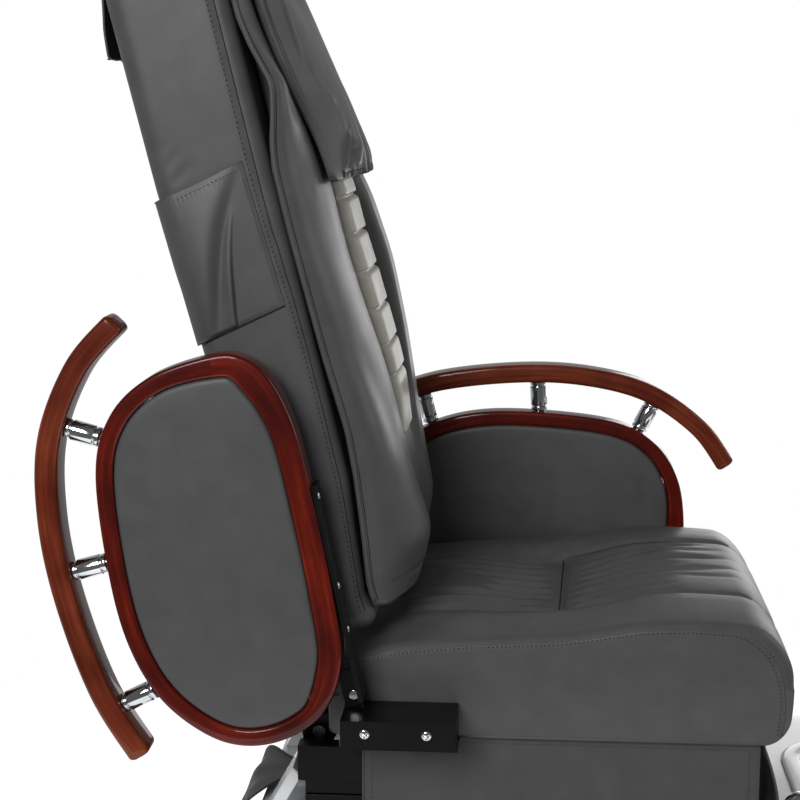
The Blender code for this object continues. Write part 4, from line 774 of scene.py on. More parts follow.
# Profiles of the cover, its edge, the band and the pillow: places s along the back, and heights there over the back
BOLSTER_RIGHT = ((0.15, 0.196, 0.22, 0.245, 0.28, 0.33, 0.38, 0.43, 0.50, 0.58, 0.66, 0.72, 0.775, 0.82, 0.851, 0.887,
                  0.93),
                 (0.066, 0.070, 0.069, 0.066, 0.062, 0.062, 0.062, 0.060, 0.053, 0.047, 0.047, 0.042, 0.033, 0.024,
                  0.017, 0.012, 0.009))
BOLSTER_LEFT = ((0.15, 0.30, 0.36, 0.45, 0.54, 0.64, 0.72, 0.775, 0.82, 0.851, 0.887, 0.93),
                (0.054, 0.064, 0.069, 0.076, 0.079, 0.069, 0.046, 0.036, 0.028, 0.020, 0.0147, 0.012))
BAND_TOP = ((0.32, 0.36, 0.40, 0.44, 0.49, 0.54, 0.59, 0.64, 0.70),
            (0.060, 0.066, 0.070, 0.069, 0.067, 0.065, 0.061, 0.061, 0.054))
BAND_GROOVES = (0.402, 0.442, 0.490, 0.540, 0.590, 0.638)
COVER_EDGE = 0.007


def along_back(s, table, reach=0.025):
    """A table of heights along the back, averaged over a reach so its straight runs don't show."""
    return sum(np.interp(s + d, *table) for d in np.linspace(-reach, reach, 9)) / 9


def overlay_height(y, s):
    """Height of the massage cover's front. Outside the bolster's crest it falls by the root of 1 less the 1.7th power
    of the way to the edge; inside, it eases down to a flat channel. The head end is thin and the foot rolls down."""
    side = np.abs(y)
    crest = 0.134
    bolster = np.where(y < 0, along_back(s, BOLSTER_RIGHT), along_back(s, BOLSTER_LEFT))
    fall = np.clip((side - crest) / (OVERLAY_HALF_WIDTH - crest), 0, 1)
    outside = COVER_EDGE + (bolster - COVER_EDGE) * np.sqrt(np.maximum(1 - fall ** 1.7, 0))
    rise = ease((side - CHANNEL_HALF_WIDTH + 0.006) / 0.030)
    channel = OVERLAY_CENTRE - 0.010 * ease((s - 0.33) / 0.05)
    channel = channel + (np.minimum(bolster, OVERLAY_HEAD) - channel) * ease((s - HEAD_S + 0.01) / 0.05)
    inside = channel + (bolster - channel) * rise
    height = np.where(side > crest, outside, inside)
    foot = ease((s - 0.105) / 0.115)
    return COVER_EDGE + (height - COVER_EDGE) * (0.35 + 0.65 * foot)


EDGE_STAND = ((0.150, 0.182, 0.249, 0.315, 0.370, 0.413, 0.460, 0.534, 0.619, 0.693, 0.724, 0.752, 0.788, 0.835, 0.869,
               0.930),
              (-0.008, -0.010, -0.001, 0.006, 0.009, 0.007, 0.004, 0.002, 0.000, 0.000, 0.005, 0.013, 0.021, 0.008,
               0.002, 0.001))
# Slack folds of the cover on each side: (y, s) of both ends, width, depth
COVER_FOLDS = (((0.210, 0.815), (0.200, 0.735), 0.010, 0.0045), ((0.232, 0.692), (0.200, 0.662), 0.005, 0.0016),
               ((0.228, 0.705), (0.196, 0.640), 0.012, 0.0022), ((0.205, 0.50), (0.150, 0.27), 0.022, 0.003))
HEM_UP = 0.022


def build_overlay():
    """Massage cover: from the back's front face up to its height, its outer edge standing off by EDGE_STAND and its
    bolsters rippled by a 1.2 mm sine, then carved along its piping, folds and hem."""
    faces, y, s, share = slab((6, 150, 250), OVERLAY_HALF_WIDTH, OVERLAY_S, 0.012)
    outer = ease((np.abs(y) - 0.15) / 0.08)
    stand = along_back(s, EDGE_STAND, 0.006) * outer
    slack = 0.0012 * np.sin(31 * s + 9 * y) * ease((np.abs(y) - 0.13) / 0.05)
    base = OVERLAY_P + stand + front_fall(y, s) * (1 - outer)
    points = back_place(base + share * (OVERLAY_P + stand + overlay_height(y, s) + slack - base), y, s)
    along = np.linspace(OVERLAY_S[0] + 0.01, OVERLAY_S[1] - 0.02, 90)
    stood = along_back(along, EDGE_STAND, 0.006)

    def across(half_width, up):
        """A line over the front, at a height above the cover's lower end."""
        line_y, line_s = np.linspace(-half_width, half_width, 90), np.full(90, OVERLAY_S[0] + up)
        return back_place(OVERLAY_P + overlay_height(line_y, line_s), line_y, line_s)
    inset = {side: back_place(OVERLAY_P + stood + 0.0085, side * 0.2352, along) for side, _ in SIDES}
    lines = []
    for side, _ in SIDES:
        lines.append((inset[side], 0.0024, 0.0016, 0.01))
        for a, b, width, depth in COVER_FOLDS:
            line_y, line_s = np.linspace(a, b, 12).T
            lines.append((back_place(OVERLAY_P + 0.045, side * line_y, line_s), width, depth, 0.35))
    lines.append((across(0.228, HEM_UP), 0.004, 0.0022, 0.02))
    surface = carve(points, faces, lines), faces
    cover = add_mesh("massage_cover", *surface, LEATHER)
    place_piece(cover, "back", ["back_overlay"])
    for side, name in SIDES:
        bead = back_place(OVERLAY_P + stood + 0.004, side * (OVERLAY_HALF_WIDTH + 0.0005), along)
        piping("cover_piping_" + name, surface, bead, "back", 0.0026)
        seam_shade_line("cover_seam_shade_" + name, surface, inset[side], "back")
    stitches("cover_stitch_hem", surface, across(0.226, HEM_UP + 0.004), "back")


build_overlay()


def build_band():
    """Pleated band down the cover's middle: height follows BAND_TOP less 9.5 mm in the grooves; each pleat is a
    cushion, a quarter round over its lower 7 % and its upper 18 %, and its sides roll down to the cover."""
    faces, y, s, share = slab((6, 60, 260), BAND_HALF_WIDTH, BAND_S, 0.004)
    marks = np.array((BAND_S[0],) + BAND_GROOVES + (BAND_S[1],))
    index = np.clip(np.searchsorted(marks, s) - 1, 0, len(marks) - 2)
    up = (s - marks[index]) / np.diff(marks)[index]
    cushion = np.sqrt(np.maximum(1 - np.clip(1 - up / 0.07, 0, 1) ** 2, 0)) * np.sqrt(
        np.maximum(1 - np.clip((up - 0.82) / 0.18, 0, 1) ** 2, 0))
    roll = np.sqrt(np.maximum(1 - (np.abs(y) / BAND_HALF_WIDTH) ** (9.0 - 4.0 * (1 - cushion)), 0.0))
    full = along_back(s, BAND_TOP) - 0.0095 * (1 - cushion)
    low = 0.036
    points = back_place(OVERLAY_P + low + share * np.maximum((full - low) * (0.12 + 0.88 * roll), 0.003), y, s)
    lines = [(back_place(OVERLAY_P + 0.064, np.linspace(a, b, 8), np.linspace(c, d, 8)), 0.004, depth, 0.35)
             for a, b, c, d, depth in ((-0.010, 0.020, 0.600, 0.630, -0.0014), (0.020, 0.035, 0.552, 0.580, -0.0016),
                                       (-0.030, 0.000, 0.505, 0.530, -0.0012), (0.0, 0.030, 0.455, 0.480, -0.0014))]
    # The band takes the lighter leather copy, which paints the pleats' sheen.
    band = add_mesh("pleated_band", carve(points, faces, lines), faces, PLEAT_SHEEN_LEATHER)
    place_piece(band, "back")
    # A near-black cord in each groove paints the shade between the pleats.
    for index, s_seam in enumerate(BAND_GROOVES):
        line = back_place(OVERLAY_P + along_back(s_seam, BAND_TOP) - 0.0090, np.linspace(-0.056, 0.056, 30), s_seam)
        place_piece(tube("band_groove_shade_%d" % (index + 1), line, 0.0011, SEAM_SHADE), "back")


build_band()


PILLOW_EDGE = ((0.655, 0.701, 0.741, 0.765, 0.811, 0.857, 0.887, 0.940),
               (0.060, 0.056, 0.048, 0.041, 0.032, 0.025, 0.022, 0.021))
PILLOW_TOP = ((0.655, 0.662, 0.681, 0.762, 0.803, 0.885, 0.940), (0.079, 0.088, 0.094, 0.084, 0.075, 0.057, 0.046))
PILLOW_UNDER = ((0.655, 0.690, 0.720, 0.760, 0.940), (0.060, 0.056, 0.050, 0.0360, 0.0353))
PILLOW_RIDGE = ((0.655, 0.700, 0.713, 0.733, 0.757, 0.781, 0.813, 0.940),
                (0.028, 0.030, 0.036, 0.060, 0.095, 0.114, 0.124, 0.128))
PILLOW_LIFT = ((0.655, 0.713, 0.733, 0.757, 0.781, 0.850, 0.880, 0.940),
               (0.98, 0.97, 0.92, 0.66, 0.58, 0.57, 0.70, 0.60))
# Raised and sunk folds on each half of the pillow: (y, s) of both ends, width, depth
PILLOW_FOLDS = (
    ((0.126, 0.664), (0.060, 0.722), 0.0030, -0.0056), ((0.104, 0.664), (0.050, 0.708), 0.010, 0.0046),
    ((0.124, 0.905), (0.122, 0.800), 0.005, -0.0026), ((0.122, 0.800), (0.078, 0.748), 0.005, -0.0028),
    ((0.068, 0.664), (0.040, 0.700), 0.004, -0.0018))


def pillow_front(y, s):
    """Height of the pillow's front: a dome of the 1.6th power inside a slanting ridge, a nearly flat facet outside it,
    averaged over 28 mm across; sine gathers fan upwards from the hem, fading by e every 17 % of its height."""
    edge, top = along_back(s, PILLOW_EDGE, 0.015), along_back(s, PILLOW_TOP, 0.012)
    ridge, lift = along_back(s, PILLOW_RIDGE, 0.022), along_back(s, PILLOW_LIFT, 0.022)
    crest = edge + (top - edge) * lift

    def facet(out):
        """Share of the way from the edge up to the ridge."""
        return np.clip((PILLOW_HALF_WIDTH - out) / (PILLOW_HALF_WIDTH - ridge), 0, 1)

    def crown(out):
        """Height at a distance from the middle."""
        return np.where(out > ridge, edge + (crest - edge) * facet(out) ** 0.80,
                        top - (top - crest) * np.clip(out / ridge, 0, 1) ** 1.6)
    front = sum(crown(np.abs(y + d)) for d in np.linspace(-0.014, 0.014, 9)) / 9
    low = (s - PILLOW_S[0]) / (PILLOW_S[1] - PILLOW_S[0])
    gather = np.exp(-low / 0.17) * ease((0.115 - np.abs(y)) / 0.05)
    front += gather * (0.0020 * np.sin(150 * y + 5 * np.sin(31 * y)) + 0.0009 * np.sin(331 * y + 1.3))
    return front + 0.0012 * np.sin(37 * y + 21 * s) * ease(facet(np.abs(y)) / 0.3), edge


def build_pillow():
    """Head pillow: a slack wedge, thin along its piped edges and full above its hem, with a frilled hem whose two
    sines grow towards its free edge."""
    faces, y, s, share = slab((10, 170, 190), PILLOW_HALF_WIDTH, PILLOW_S, 0.012)
    front, edge = pillow_front(y, s)
    under = np.interp(s, *PILLOW_UNDER)
    under = under + (edge - 0.007 - under) * (np.abs(y) / PILLOW_HALF_WIDTH) ** 2
    points = back_place(OVERLAY_P + under + share * np.maximum(front - under, 0.004), y, s)

    def on_front(line_y, line_s):
        """Numbers of the front's points nearest to places on it."""
        return [np.argmin((y - u) ** 2 + (s - v) ** 2 + (share < 0.9)) for u, v in zip(line_y, line_s)]
    lines = []
    for sign, _ in SIDES:
        for a, b, width, depth in PILLOW_FOLDS:
            line_y, line_s = np.linspace(a, b, 12).T
            lines.append((points[on_front(sign * line_y, line_s)], width, depth, 0.3))
    points = carve(points, faces, lines)
    surface = points, faces
    place_piece(add_mesh("pillow", *surface, LEATHER), "back", ["head_pillow"])
    along = np.linspace(PILLOW_S[0] + 0.006, PILLOW_S[1] - 0.012, 60)
    height = np.interp(along, *PILLOW_EDGE)
    for side, name in SIDES:
        rim = back_place(OVERLAY_P + height - 0.003, side * (PILLOW_HALF_WIDTH + 0.001), along)
        piping("pillow_piping_" + name, surface, rim, "back", 0.0024)
        inside = back_place(OVERLAY_P + height + 0.002, side * (PILLOW_HALF_WIDTH - 0.007), along)
        seam_shade_line("pillow_seam_shade_" + name, surface, inside, "back", 0.0006)

    u, v = np.meshgrid(np.linspace(-1, 1, 240), np.linspace(0, 1, 10))
    width = 0.122 * u
    index = on_front(width[0], np.full(240, PILLOW_S[0] + 0.010))
    high = (points[index] - back_place(0, 0, 0)) @ np.array([math.cos(TILT), 0.0, math.sin(TILT)])
    high = np.convolve(np.pad(high, 4, "edge"), np.ones(9) / 9, "valid")
    frill = 0.0014 * np.sin(96 * u + 6 * np.sin(17 * u)) * v + 0.0007 * np.sin(211 * u) * v
    sheet = back_place(high + 0.0012 - 0.003 * v ** 2 + frill, width, PILLOW_S[0] + 0.012 - 0.0105 * v + 0.3 * frill)
    _, quads = cloth("pillow_hem", sheet, "back", [], CLOTH)
    stitches("pillow_hem_stitch", (sheet.reshape(-1, 3), quads), sheet[4, 3:-3], "back", 0.0048)


build_pillow()


# Seat

def seat_top(x):
    """Height of the seat's side seam: low behind, level to the cross seam, then a hump that rolls to the front."""
    return np.interp(x, (-0.482, -0.447, -0.394, -0.321, -0.201, -0.153, -0.106, -0.047, 0.012, 0.073),
                     (0.586, 0.592, 0.605, 0.613, 0.620, 0.628, 0.637, 0.640, 0.637, 0.632))


def seat_line(x):
    """Seat height averaged over 28 mm, so the joints of the straight runs don't show."""
    return sum(seat_top(x + d) for d in np.linspace(-0.014, 0.014, 9)) / 9


def seat_crown(x, y):
    """Rise over the side seams: a flat-topped crown less the hollow pulled down along the cross seam."""
    crown = 0.013 * (1 - (y / SEAT_HALF_WIDTH) ** 4) * ease((x - SEAT_X[0]) / 0.10)
    return crown - 0.016 * bump((x + 0.205) / 0.090) * ease((0.175 - np.abs(y)) / 0.060)


def seat_points(places):
    """The seat's lattice bent to its shape: each corner of its side view rounded to its own radius, its side edges
    rounded to 16 mm, its front bowed out and its sides drawn in by a sine, its top on the side seam and crown."""
    half = np.array([(SEAT_X[1] - SEAT_X[0]) / 2, 0.060])
    flat = 0.6 * places + 0.4 * np.sin(places * math.pi / 2)
    y = flat[:, 1] * SEAT_HALF_WIDTH
    side_round = 0.016
    gone = np.clip((np.abs(y) - SEAT_HALF_WIDTH + side_round) / side_round, 0, 1)
    inset = side_round * (1 - np.sqrt(1 - gone ** 2))
    spot = flat[:, [0, 2]] * half
    ahead, above = spot[:, 0] > 0, spot[:, 1] > 0
    corner = np.where(ahead, np.where(above, 0.052, 0.030), np.where(above, 0.024, 0.012))
    core = np.clip(spot, corner[:, None] - half, half - corner[:, None])
    out = spot - core
    size = np.linalg.norm(out, axis=1)
    inset = inset * np.where(above, 1.0, 0.12)
    keep = np.minimum(size, corner) * (corner - inset) / corner
    spot = core + out / np.maximum(size, 1e-9)[:, None] * keep[:, None]
    x = spot[:, 0] + sum(SEAT_X) / 2
    share = (spot[:, 1] + half[1]) / (2 * half[1])
    bow = np.sin(math.pi * np.clip(share, 0, 1))
    x += 0.006 * bow * ease((x - SEAT_X[1] + 0.05) / 0.05)
    top = seat_line(x) + seat_crown(x, y) * ease((share - 0.5) / 0.5)
    z = SEAT_BOTTOM + share * (top - SEAT_BOTTOM)
    y = y + np.sign(y) * np.where(np.abs(places[:, 1]) > 0.999, 0.004 * bow - 0.004, 0.0)
    return np.stack([x, y, z], 1)


def on_seat(x, y):
    """World points on the seat's top."""
    return np.stack(np.broadcast_arrays(x, y, seat_line(x) + seat_crown(x, y)), -1)


def seat_over(y, x_from, x_to, count=70):
    """A line over the seat's top at a distance across."""
    return on_seat(np.linspace(x_from, x_to, count), y)


def seat_folds(cross):
    """Lines carved into the seat: long seams, cross seam, gathers fanning from it both ways, slack folds in front."""
    lines = []
    for sign, _ in SIDES:
        seam_y = sign * LONG_SEAM_Y
        drop = [(0.062, seam_y, 0.630), (0.072, seam_y, 0.600), (0.074, seam_y, 0.540)]
        line = np.vstack([seat_over(seam_y, SEAT_SEAM_X, 0.045), drop])
        lines += [(line, 0.005, 0.0036, 0.02), (line, 0.020, 0.0020, 0.08)]
        lines.append((seat_over(seam_y, SEAT_SEAM_X, -0.40), 0.016, 0.0035, 0.12))
    lines += [(cross, 0.005, 0.0045, 0.0), (cross, 0.022, 0.0035, 0.04)]
    rng = np.random.default_rng(7)
    for y_fold in np.linspace(-0.117, 0.117, 9):
        for way in (-1, 1):
            reach = (0.08 + 0.10 * rng.random()) * (1.5 if way > 0 else 1.3)
            drift = (rng.random() - 0.5) * 0.012 + 0.10 * y_fold
            run = np.linspace(0.003, reach, 14)
            fold_y = y_fold + drift * run / reach + 0.004 * (rng.random() - 0.5)
            fold = on_seat(SEAT_SEAM_X + SEAT_SEAM_SLANT * y_fold + way * run, fold_y)
            lines.append((fold, 0.0084, 0.0054 + 0.0040 * rng.random(), 0.36))
    for y_fold, x_from, x_to, depth in ((-0.06, -0.10, 0.05, 0.0022), (-0.02, -0.12, 0.06, 0.0026),
                                        (0.03, -0.11, 0.05, 0.0022), (0.07, -0.13, 0.04, 0.0024)):
        lines.append((seat_over(y_fold, x_from, x_to, 30), 0.008, depth, 0.4))
    return lines


def build_seat():
    """Seat cushion with its side welts, stitches and top seams. The side seam runs 4 mm under the seat's line and
    rolls down its front; its points are averaged 1-2-1 eight times."""
    cross_y = np.linspace(-LONG_SEAM_Y, LONG_SEAM_Y, 40)
    cross = on_seat(SEAT_SEAM_X + SEAT_SEAM_SLANT * cross_y, cross_y)
    places, faces = block((190, 150, 36))
    surface = carve(seat_points(places), faces, seat_folds(cross)), faces
    seat = add_mesh("seat", *surface, LEATHER)
    place_piece(seat, "carriage", ["seat_cushion"])

    run = np.linspace(SEAT_X[0] + 0.012, 0.010, 70)
    edge = np.vstack([np.stack([run, seat_line(run) - 0.004], 1),
                      [(0.045, 0.615), (0.060, 0.590), (0.067, 0.560), (0.068, 0.530), (0.064, 0.500)]])
    edge = catmull(edge, 3)
    for _ in range(8):
        edge[1:-1] = (edge[:-2] + 2 * edge[1:-1] + edge[2:]) / 4
    ahead = np.gradient(edge, axis=0)
    ahead /= np.linalg.norm(ahead, axis=1, keepdims=True)
    for sign, name in SIDES:
        seam = np.stack([edge[:, 0], np.full(len(edge), sign * SEAT_HALF_WIDTH), edge[:, 1]], 1)
        piping("seat_seam_" + name, surface, seam, "carriage", 0.0013, SEAM_STEP, 0.0002, 8)
        below = seam + 0.0045 * np.stack([ahead[:, 1], 0 * ahead[:, 1], -ahead[:, 0]], 1)
        stitches("seat_stitch_" + name, surface, below, "carriage")
        seam_y = sign * LONG_SEAM_Y
        far = seat_over(seam_y, SEAT_SEAM_X + SEAT_SEAM_SLANT * seam_y + 0.005, 0.055)
        seam_shade_line("seat_long_seam_shade_" + name, surface, far, "carriage", sink=0.0, above=True)
    seam_shade_line("seat_cross_seam_shade", surface, cross, "carriage", 0.0010, above=True)


build_seat()


# Hung cloth: skirts, rear flap, pillow flap, side pocket

def build_skirts():
    """Side and front skirts: hung sheets, flat at the top, whose bell-shaped folds grow towards the foot with the
    0.8th power of the way down; the front one also bulges by a sine."""
    u, v = np.meshgrid(np.linspace(0, 1, 130), np.linspace(0, 1, 36))
    x = -0.440 + 0.4805 * u
    top = 0.4750 + 0.0150 * ease((x + 0.3235) / 0.002)
    fold = sum(deep * bump((u - at - lean * (1 - v)) / wide) for at, wide, deep, lean in (
        (0.16, 0.06, 0.0085, 0.10), (0.40, 0.06, 0.0060, -0.10), (0.62, 0.05, 0.0100, 0.08),
        (0.82, 0.06, 0.0070, -0.10))) * (1 - v) ** 0.8
    swell = 0.0016 * np.sin(14 * u + 2.0) * (1 - v)
    for side, name in SIDES:
        y = side * (0.2395 + np.maximum(fold + swell, 0.0))
        points = np.stack([x, y, SKIRT_LOW_Z + v * (top - SKIRT_LOW_Z)], -1)
        _, faces = cloth("side_skirt_" + name, points, "carriage", ["skirt_" + name])
        rows = [points[2:-2, 3], points[2:-2, -4], points[-3, 26:-3], points[3, 3:-3]]
        hem("side_skirt_" + name, points, faces, rows, "carriage")
    u, v = np.meshgrid(np.linspace(0, 1, 110), np.linspace(0, 1, 36))
    bulge = 0.020 * np.sin(math.pi * 0.75 * (1 - v))
    fold = 0.0030 * (1 + np.sin(21 * u + 3 * np.sin(5 * u))) * (1 - v)
    points = np.stack([0.0455 + bulge + fold, (2 * u - 1) * 0.231, SKIRT_LOW_Z + v * 0.137], -1)
    _, faces = cloth("front_skirt", points, "carriage", ["skirt_front"])
    hem("front_skirt", points, faces, [points[2:-2, 3], points[2:-2, -4], points[3, 3:-3]], "carriage")


def build_flaps():
    """Rear flap and pillow strap: sheets along a spine in side view, widening on the way, with sine folds that grow
    towards the free end. The strap goes round the back's top edges on quarter circles."""
    line = catmull([(-0.5100, 0.3380), (-0.546, 0.3440), (-0.582, 0.3450), (-0.612, 0.3330), (-0.624, 0.2970),
                    (-0.640, 0.2550)], 10)
    spine = resample(line, 60)
    u, v = np.meshgrid(np.linspace(-1, 1, 70), np.linspace(0, 1, 60))
    fold = 0.012 * v ** 2 * (0.5 - 0.5 * np.cos(9.4 * u + 1.1)) + 0.004 * v * np.sin(5 * u)
    wide = 0.034 + 0.086 * ease((v - 0.26) / 0.36)
    points = np.stack([spine[:, 0, None] - fold, wide * u * (1 - 0.10 * v ** 2), spine[:, 1, None] + 0 * u], -1)
    _, faces = cloth("hung_flap", points, "base", ["rear_flap"])
    hem("hung_flap", points, faces, [points[3:-3, 3], points[3:-3, -4], points[-4, 3:-3]], "base")

    crest = BACK_S[1] - BACK_ROUND
    over = BACK_ROUND + 0.0032
    bends = np.linspace(0, math.pi / 2, 8)
    front = [(BACK_P[1] - BACK_ROUND + over * math.cos(t), crest + over * math.sin(t)) for t in bends]
    rear = [(BACK_P[0] + BACK_ROUND - (over + 0.018) * math.sin(t), crest + over * math.cos(t)) for t in bends]
    line = [(0.176, 0.9395), (0.155, 0.9425), (0.134, 0.9480)] + front + rear
    line += [(BACK_P[0] - 0.028, 0.935), (BACK_P[0] - 0.034, 0.900), (BACK_P[0] - 0.036, 0.867)]
    spine = resample(np.array(line), 90)
    u, v = np.meshgrid(np.linspace(-1, 1, 80), np.linspace(0, 1, 90))
    gather = 0.0034 * (1 + np.sin(38 * u + 4 * np.sin(7 * u))) * ease((v - 0.80) / 0.2)
    wide = 0.115 + 0.052 * ease((v - 0.35) / 0.35)
    points = back_place(spine[:, 0, None] - gather, u * wide, spine[:, 1, None] + 0 * u)
    _, faces = cloth("pillow_strap", points, "back", ["pillow_flap"])
    hem("pillow_strap", points, faces, [points[4:-4, 3], points[4:-4, -4], points[-5, 3:-3]], "back")


def build_pocket():
    """Slack pocket on the right side: flat by the seam, a pouch behind its tuck, wrapped round the rear edge. Its
    height over the side is the pouch's swell, a valley before the tuck, a lip along it and a drop past it."""
    u, v = np.meshgrid(np.linspace(0, 1, 170), np.linspace(0, 1, 110))
    front = np.interp(v, (0.0, 0.5, 1.0), (0.0975, 0.0930, 0.0890))
    shifts = np.linspace(-0.12, 0.12, 7)
    edge = BACK_P[0] + rear_swell(0.511 + 0.175 * v)
    rear = edge - 0.0035 - 0.0025 * ease((v - 0.35) / 0.3)
    p = rear + u * (front - rear)
    low, high = 0.511 + 0.024 * u, 0.686 + 0.024 * u
    s = low + v * (high - low)
    tuck = sum(np.interp(v + d, (0.0, 0.27, 0.45, 0.61, 0.74, 0.85, 1.0),
                         (0.035, 0.043, 0.049, 0.057, 0.065, 0.076, 0.092)) for d in shifts) / 7
    slack = 1 - ease((v - 0.20) / 0.60)
    behind = np.clip((tuck - p) / (tuck - rear), 0, 1)
    swell = np.sin(math.pi * behind ** 0.85) ** 1.2 * np.sin(math.pi * np.clip(0.06 + 0.94 * v, 0, 1) ** 0.8) ** 0.7
    valley = bump((p - tuck + 0.006 + 0.016 * (1 - v)) / 0.008) * np.sin(math.pi * np.clip(v, 0, 1) ** 0.7)
    lip = np.where(p < tuck, bump((p - tuck) / 0.007), bump((p - tuck) / 0.0014)) * slack ** 0.9
    out = 0.0030 + 0.0100 * swell - 0.0056 * valley + 0.0060 * lip
    out += 0.00012 * np.sin(p / 0.0009) * bump((v - 0.945) / 0.016)
    turned = np.clip((edge + BACK_ROUND - p) / (BACK_ROUND + 0.006), 0, 1)
    round_rear = BACK_ROUND * (1 - np.sqrt(1 - turned ** 2))
    out = (0.0014 + np.maximum(out - 0.0014, 0.0) * ease(v / 0.025) * ease((1 - u) / 0.05)) - round_rear
    points = back_place(p, -(BACK_HALF_WIDTH + out), s)
    _, faces = cloth("side_pocket", points, "back", [], LEATHER)
    stitches("pocket_stitch_1", (points.reshape(-1, 3), faces), points[-6, 6:-2], "back", 0.0050)
    # The second cord, near-black along the pocket's lower edge, paints the shadow under that edge.
    for name, row, radius, material in (("pocket_hem_1", points[-1], 0.0009, LEATHER),
                                        ("pocket_lower_edge_shade", points[0], 0.0006, SEAM_SHADE)):
        place_piece(tube(name, resample(row, 90), radius, material, 8), "back")


build_skirts()
build_flaps()
build_pocket()


# Base: shell, basin, foot rest, tap

BASE_X = (-0.600, 0.600)
BASE_HALF_WIDTH = 0.335
DECK_Z = 0.325
BASIN_X = 0.340
BASIN_HALF = (0.194, 0.196)
BASIN_FLOOR_Z = 0.1166
TAP_X, TAP_Y = 0.086, -0.288
FOOTREST_X = 0.42
UP = (0, 0, 1)


def outline(x_low, x_high, half_width, low_radius, high_radius, steps=16):
    """Closed rounded rectangle, one corner radius at each end in X."""
    made = []
    for x, side, radius, quarter in ((x_high, 1, high_radius, 0), (x_low, 1, low_radius, 1),
                                     (x_low, -1, low_radius, 2), (x_high, -1, high_radius, 3)):
        turn = (quarter + np.linspace(0, 1, steps + 1)) * math.pi / 2
        centre = np.array([x - radius if x == x_high else x + radius, side * (half_width - radius)])
        made.append(centre + radius * np.stack([np.cos(turn), np.sin(turn)], 1))
    return np.vstack(made)


def shrunk(loop, distance):
    """A convex outline moved inwards."""
    return loop + inward_ways(loop) * distance


def seen_from(loop, centre, angles):
    """Points of a convex outline at given angles about a centre."""
    dense = resample(loop, 1600, True) - centre
    turn = np.unwrap(np.arctan2(dense[:, 1], dense[:, 0]))
    order = np.argsort(turn)
    grown = np.concatenate([turn[order] - 2 * math.pi, turn[order], turn[order] + 2 * math.pi])
    far = np.linalg.norm(dense[order], axis=1)
    radius = np.interp(angles, grown, np.tile(far, 3))
    return centre + radius[:, None] * np.stack([np.cos(angles), np.sin(angles)], 1)


def raised(loop, z):
    """A flat outline lifted to a height."""
    return np.column_stack([loop, np.full(len(loop), z)])


def build_base():
    """Shell: recessed foot, shadow groove, wall, rounded rim, then the deck drawn in to the basin's edge."""
    loop = resample(outline(*BASE_X, BASE_HALF_WIDTH, 0.05, 0.20), 320, True)
    rings = [raised(shrunk(loop, d), z) for d, z in (
        (0.014, 0.0), (0.012, 0.002), (0.012, 0.050), (0.010, 0.0525), (0.003, 0.0535), (0.0006, 0.055),
        (0.0, 0.058), (0.0, 0.120), (0.0, 0.215), (0.0, 0.2205), (0.0016, 0.2215), (0.0016, 0.2245), (0.0, 0.2255),
        (0.0, 0.300), (0.0, 0.310))]
    for t in np.linspace(0.12, 1, 8) * math.pi / 2:
        rings.append(raised(shrunk(loop, 0.015 * (1 - math.cos(t))), 0.310 + 0.015 * math.sin(t)))
    centre = np.array([BASIN_X, 0.0])
    edge = rings[-1][:, :2]
    angles = np.arctan2(*(edge - centre).T[::-1])
    hole = outline(BASIN_X - BASIN_HALF[0], BASIN_X + BASIN_HALF[0], BASIN_HALF[1], 0.07, 0.07)
    inner = seen_from(hole, centre, angles)
    for share in (0.25, 0.5, 0.75, 0.94, 1.0):
        rings.append(raised(edge + (inner - edge) * share, DECK_Z))
    rings.append(raised(inner, DECK_Z - 0.006))
    points = np.array(rings).reshape(-1, 3)
    faces, _ = grid_quads(len(rings), len(loop), False, True)
    shell = add_mesh("shell", points, faces, ACRYLIC, sharp=38)
    place_piece(shell, "base", ["base_shell"])


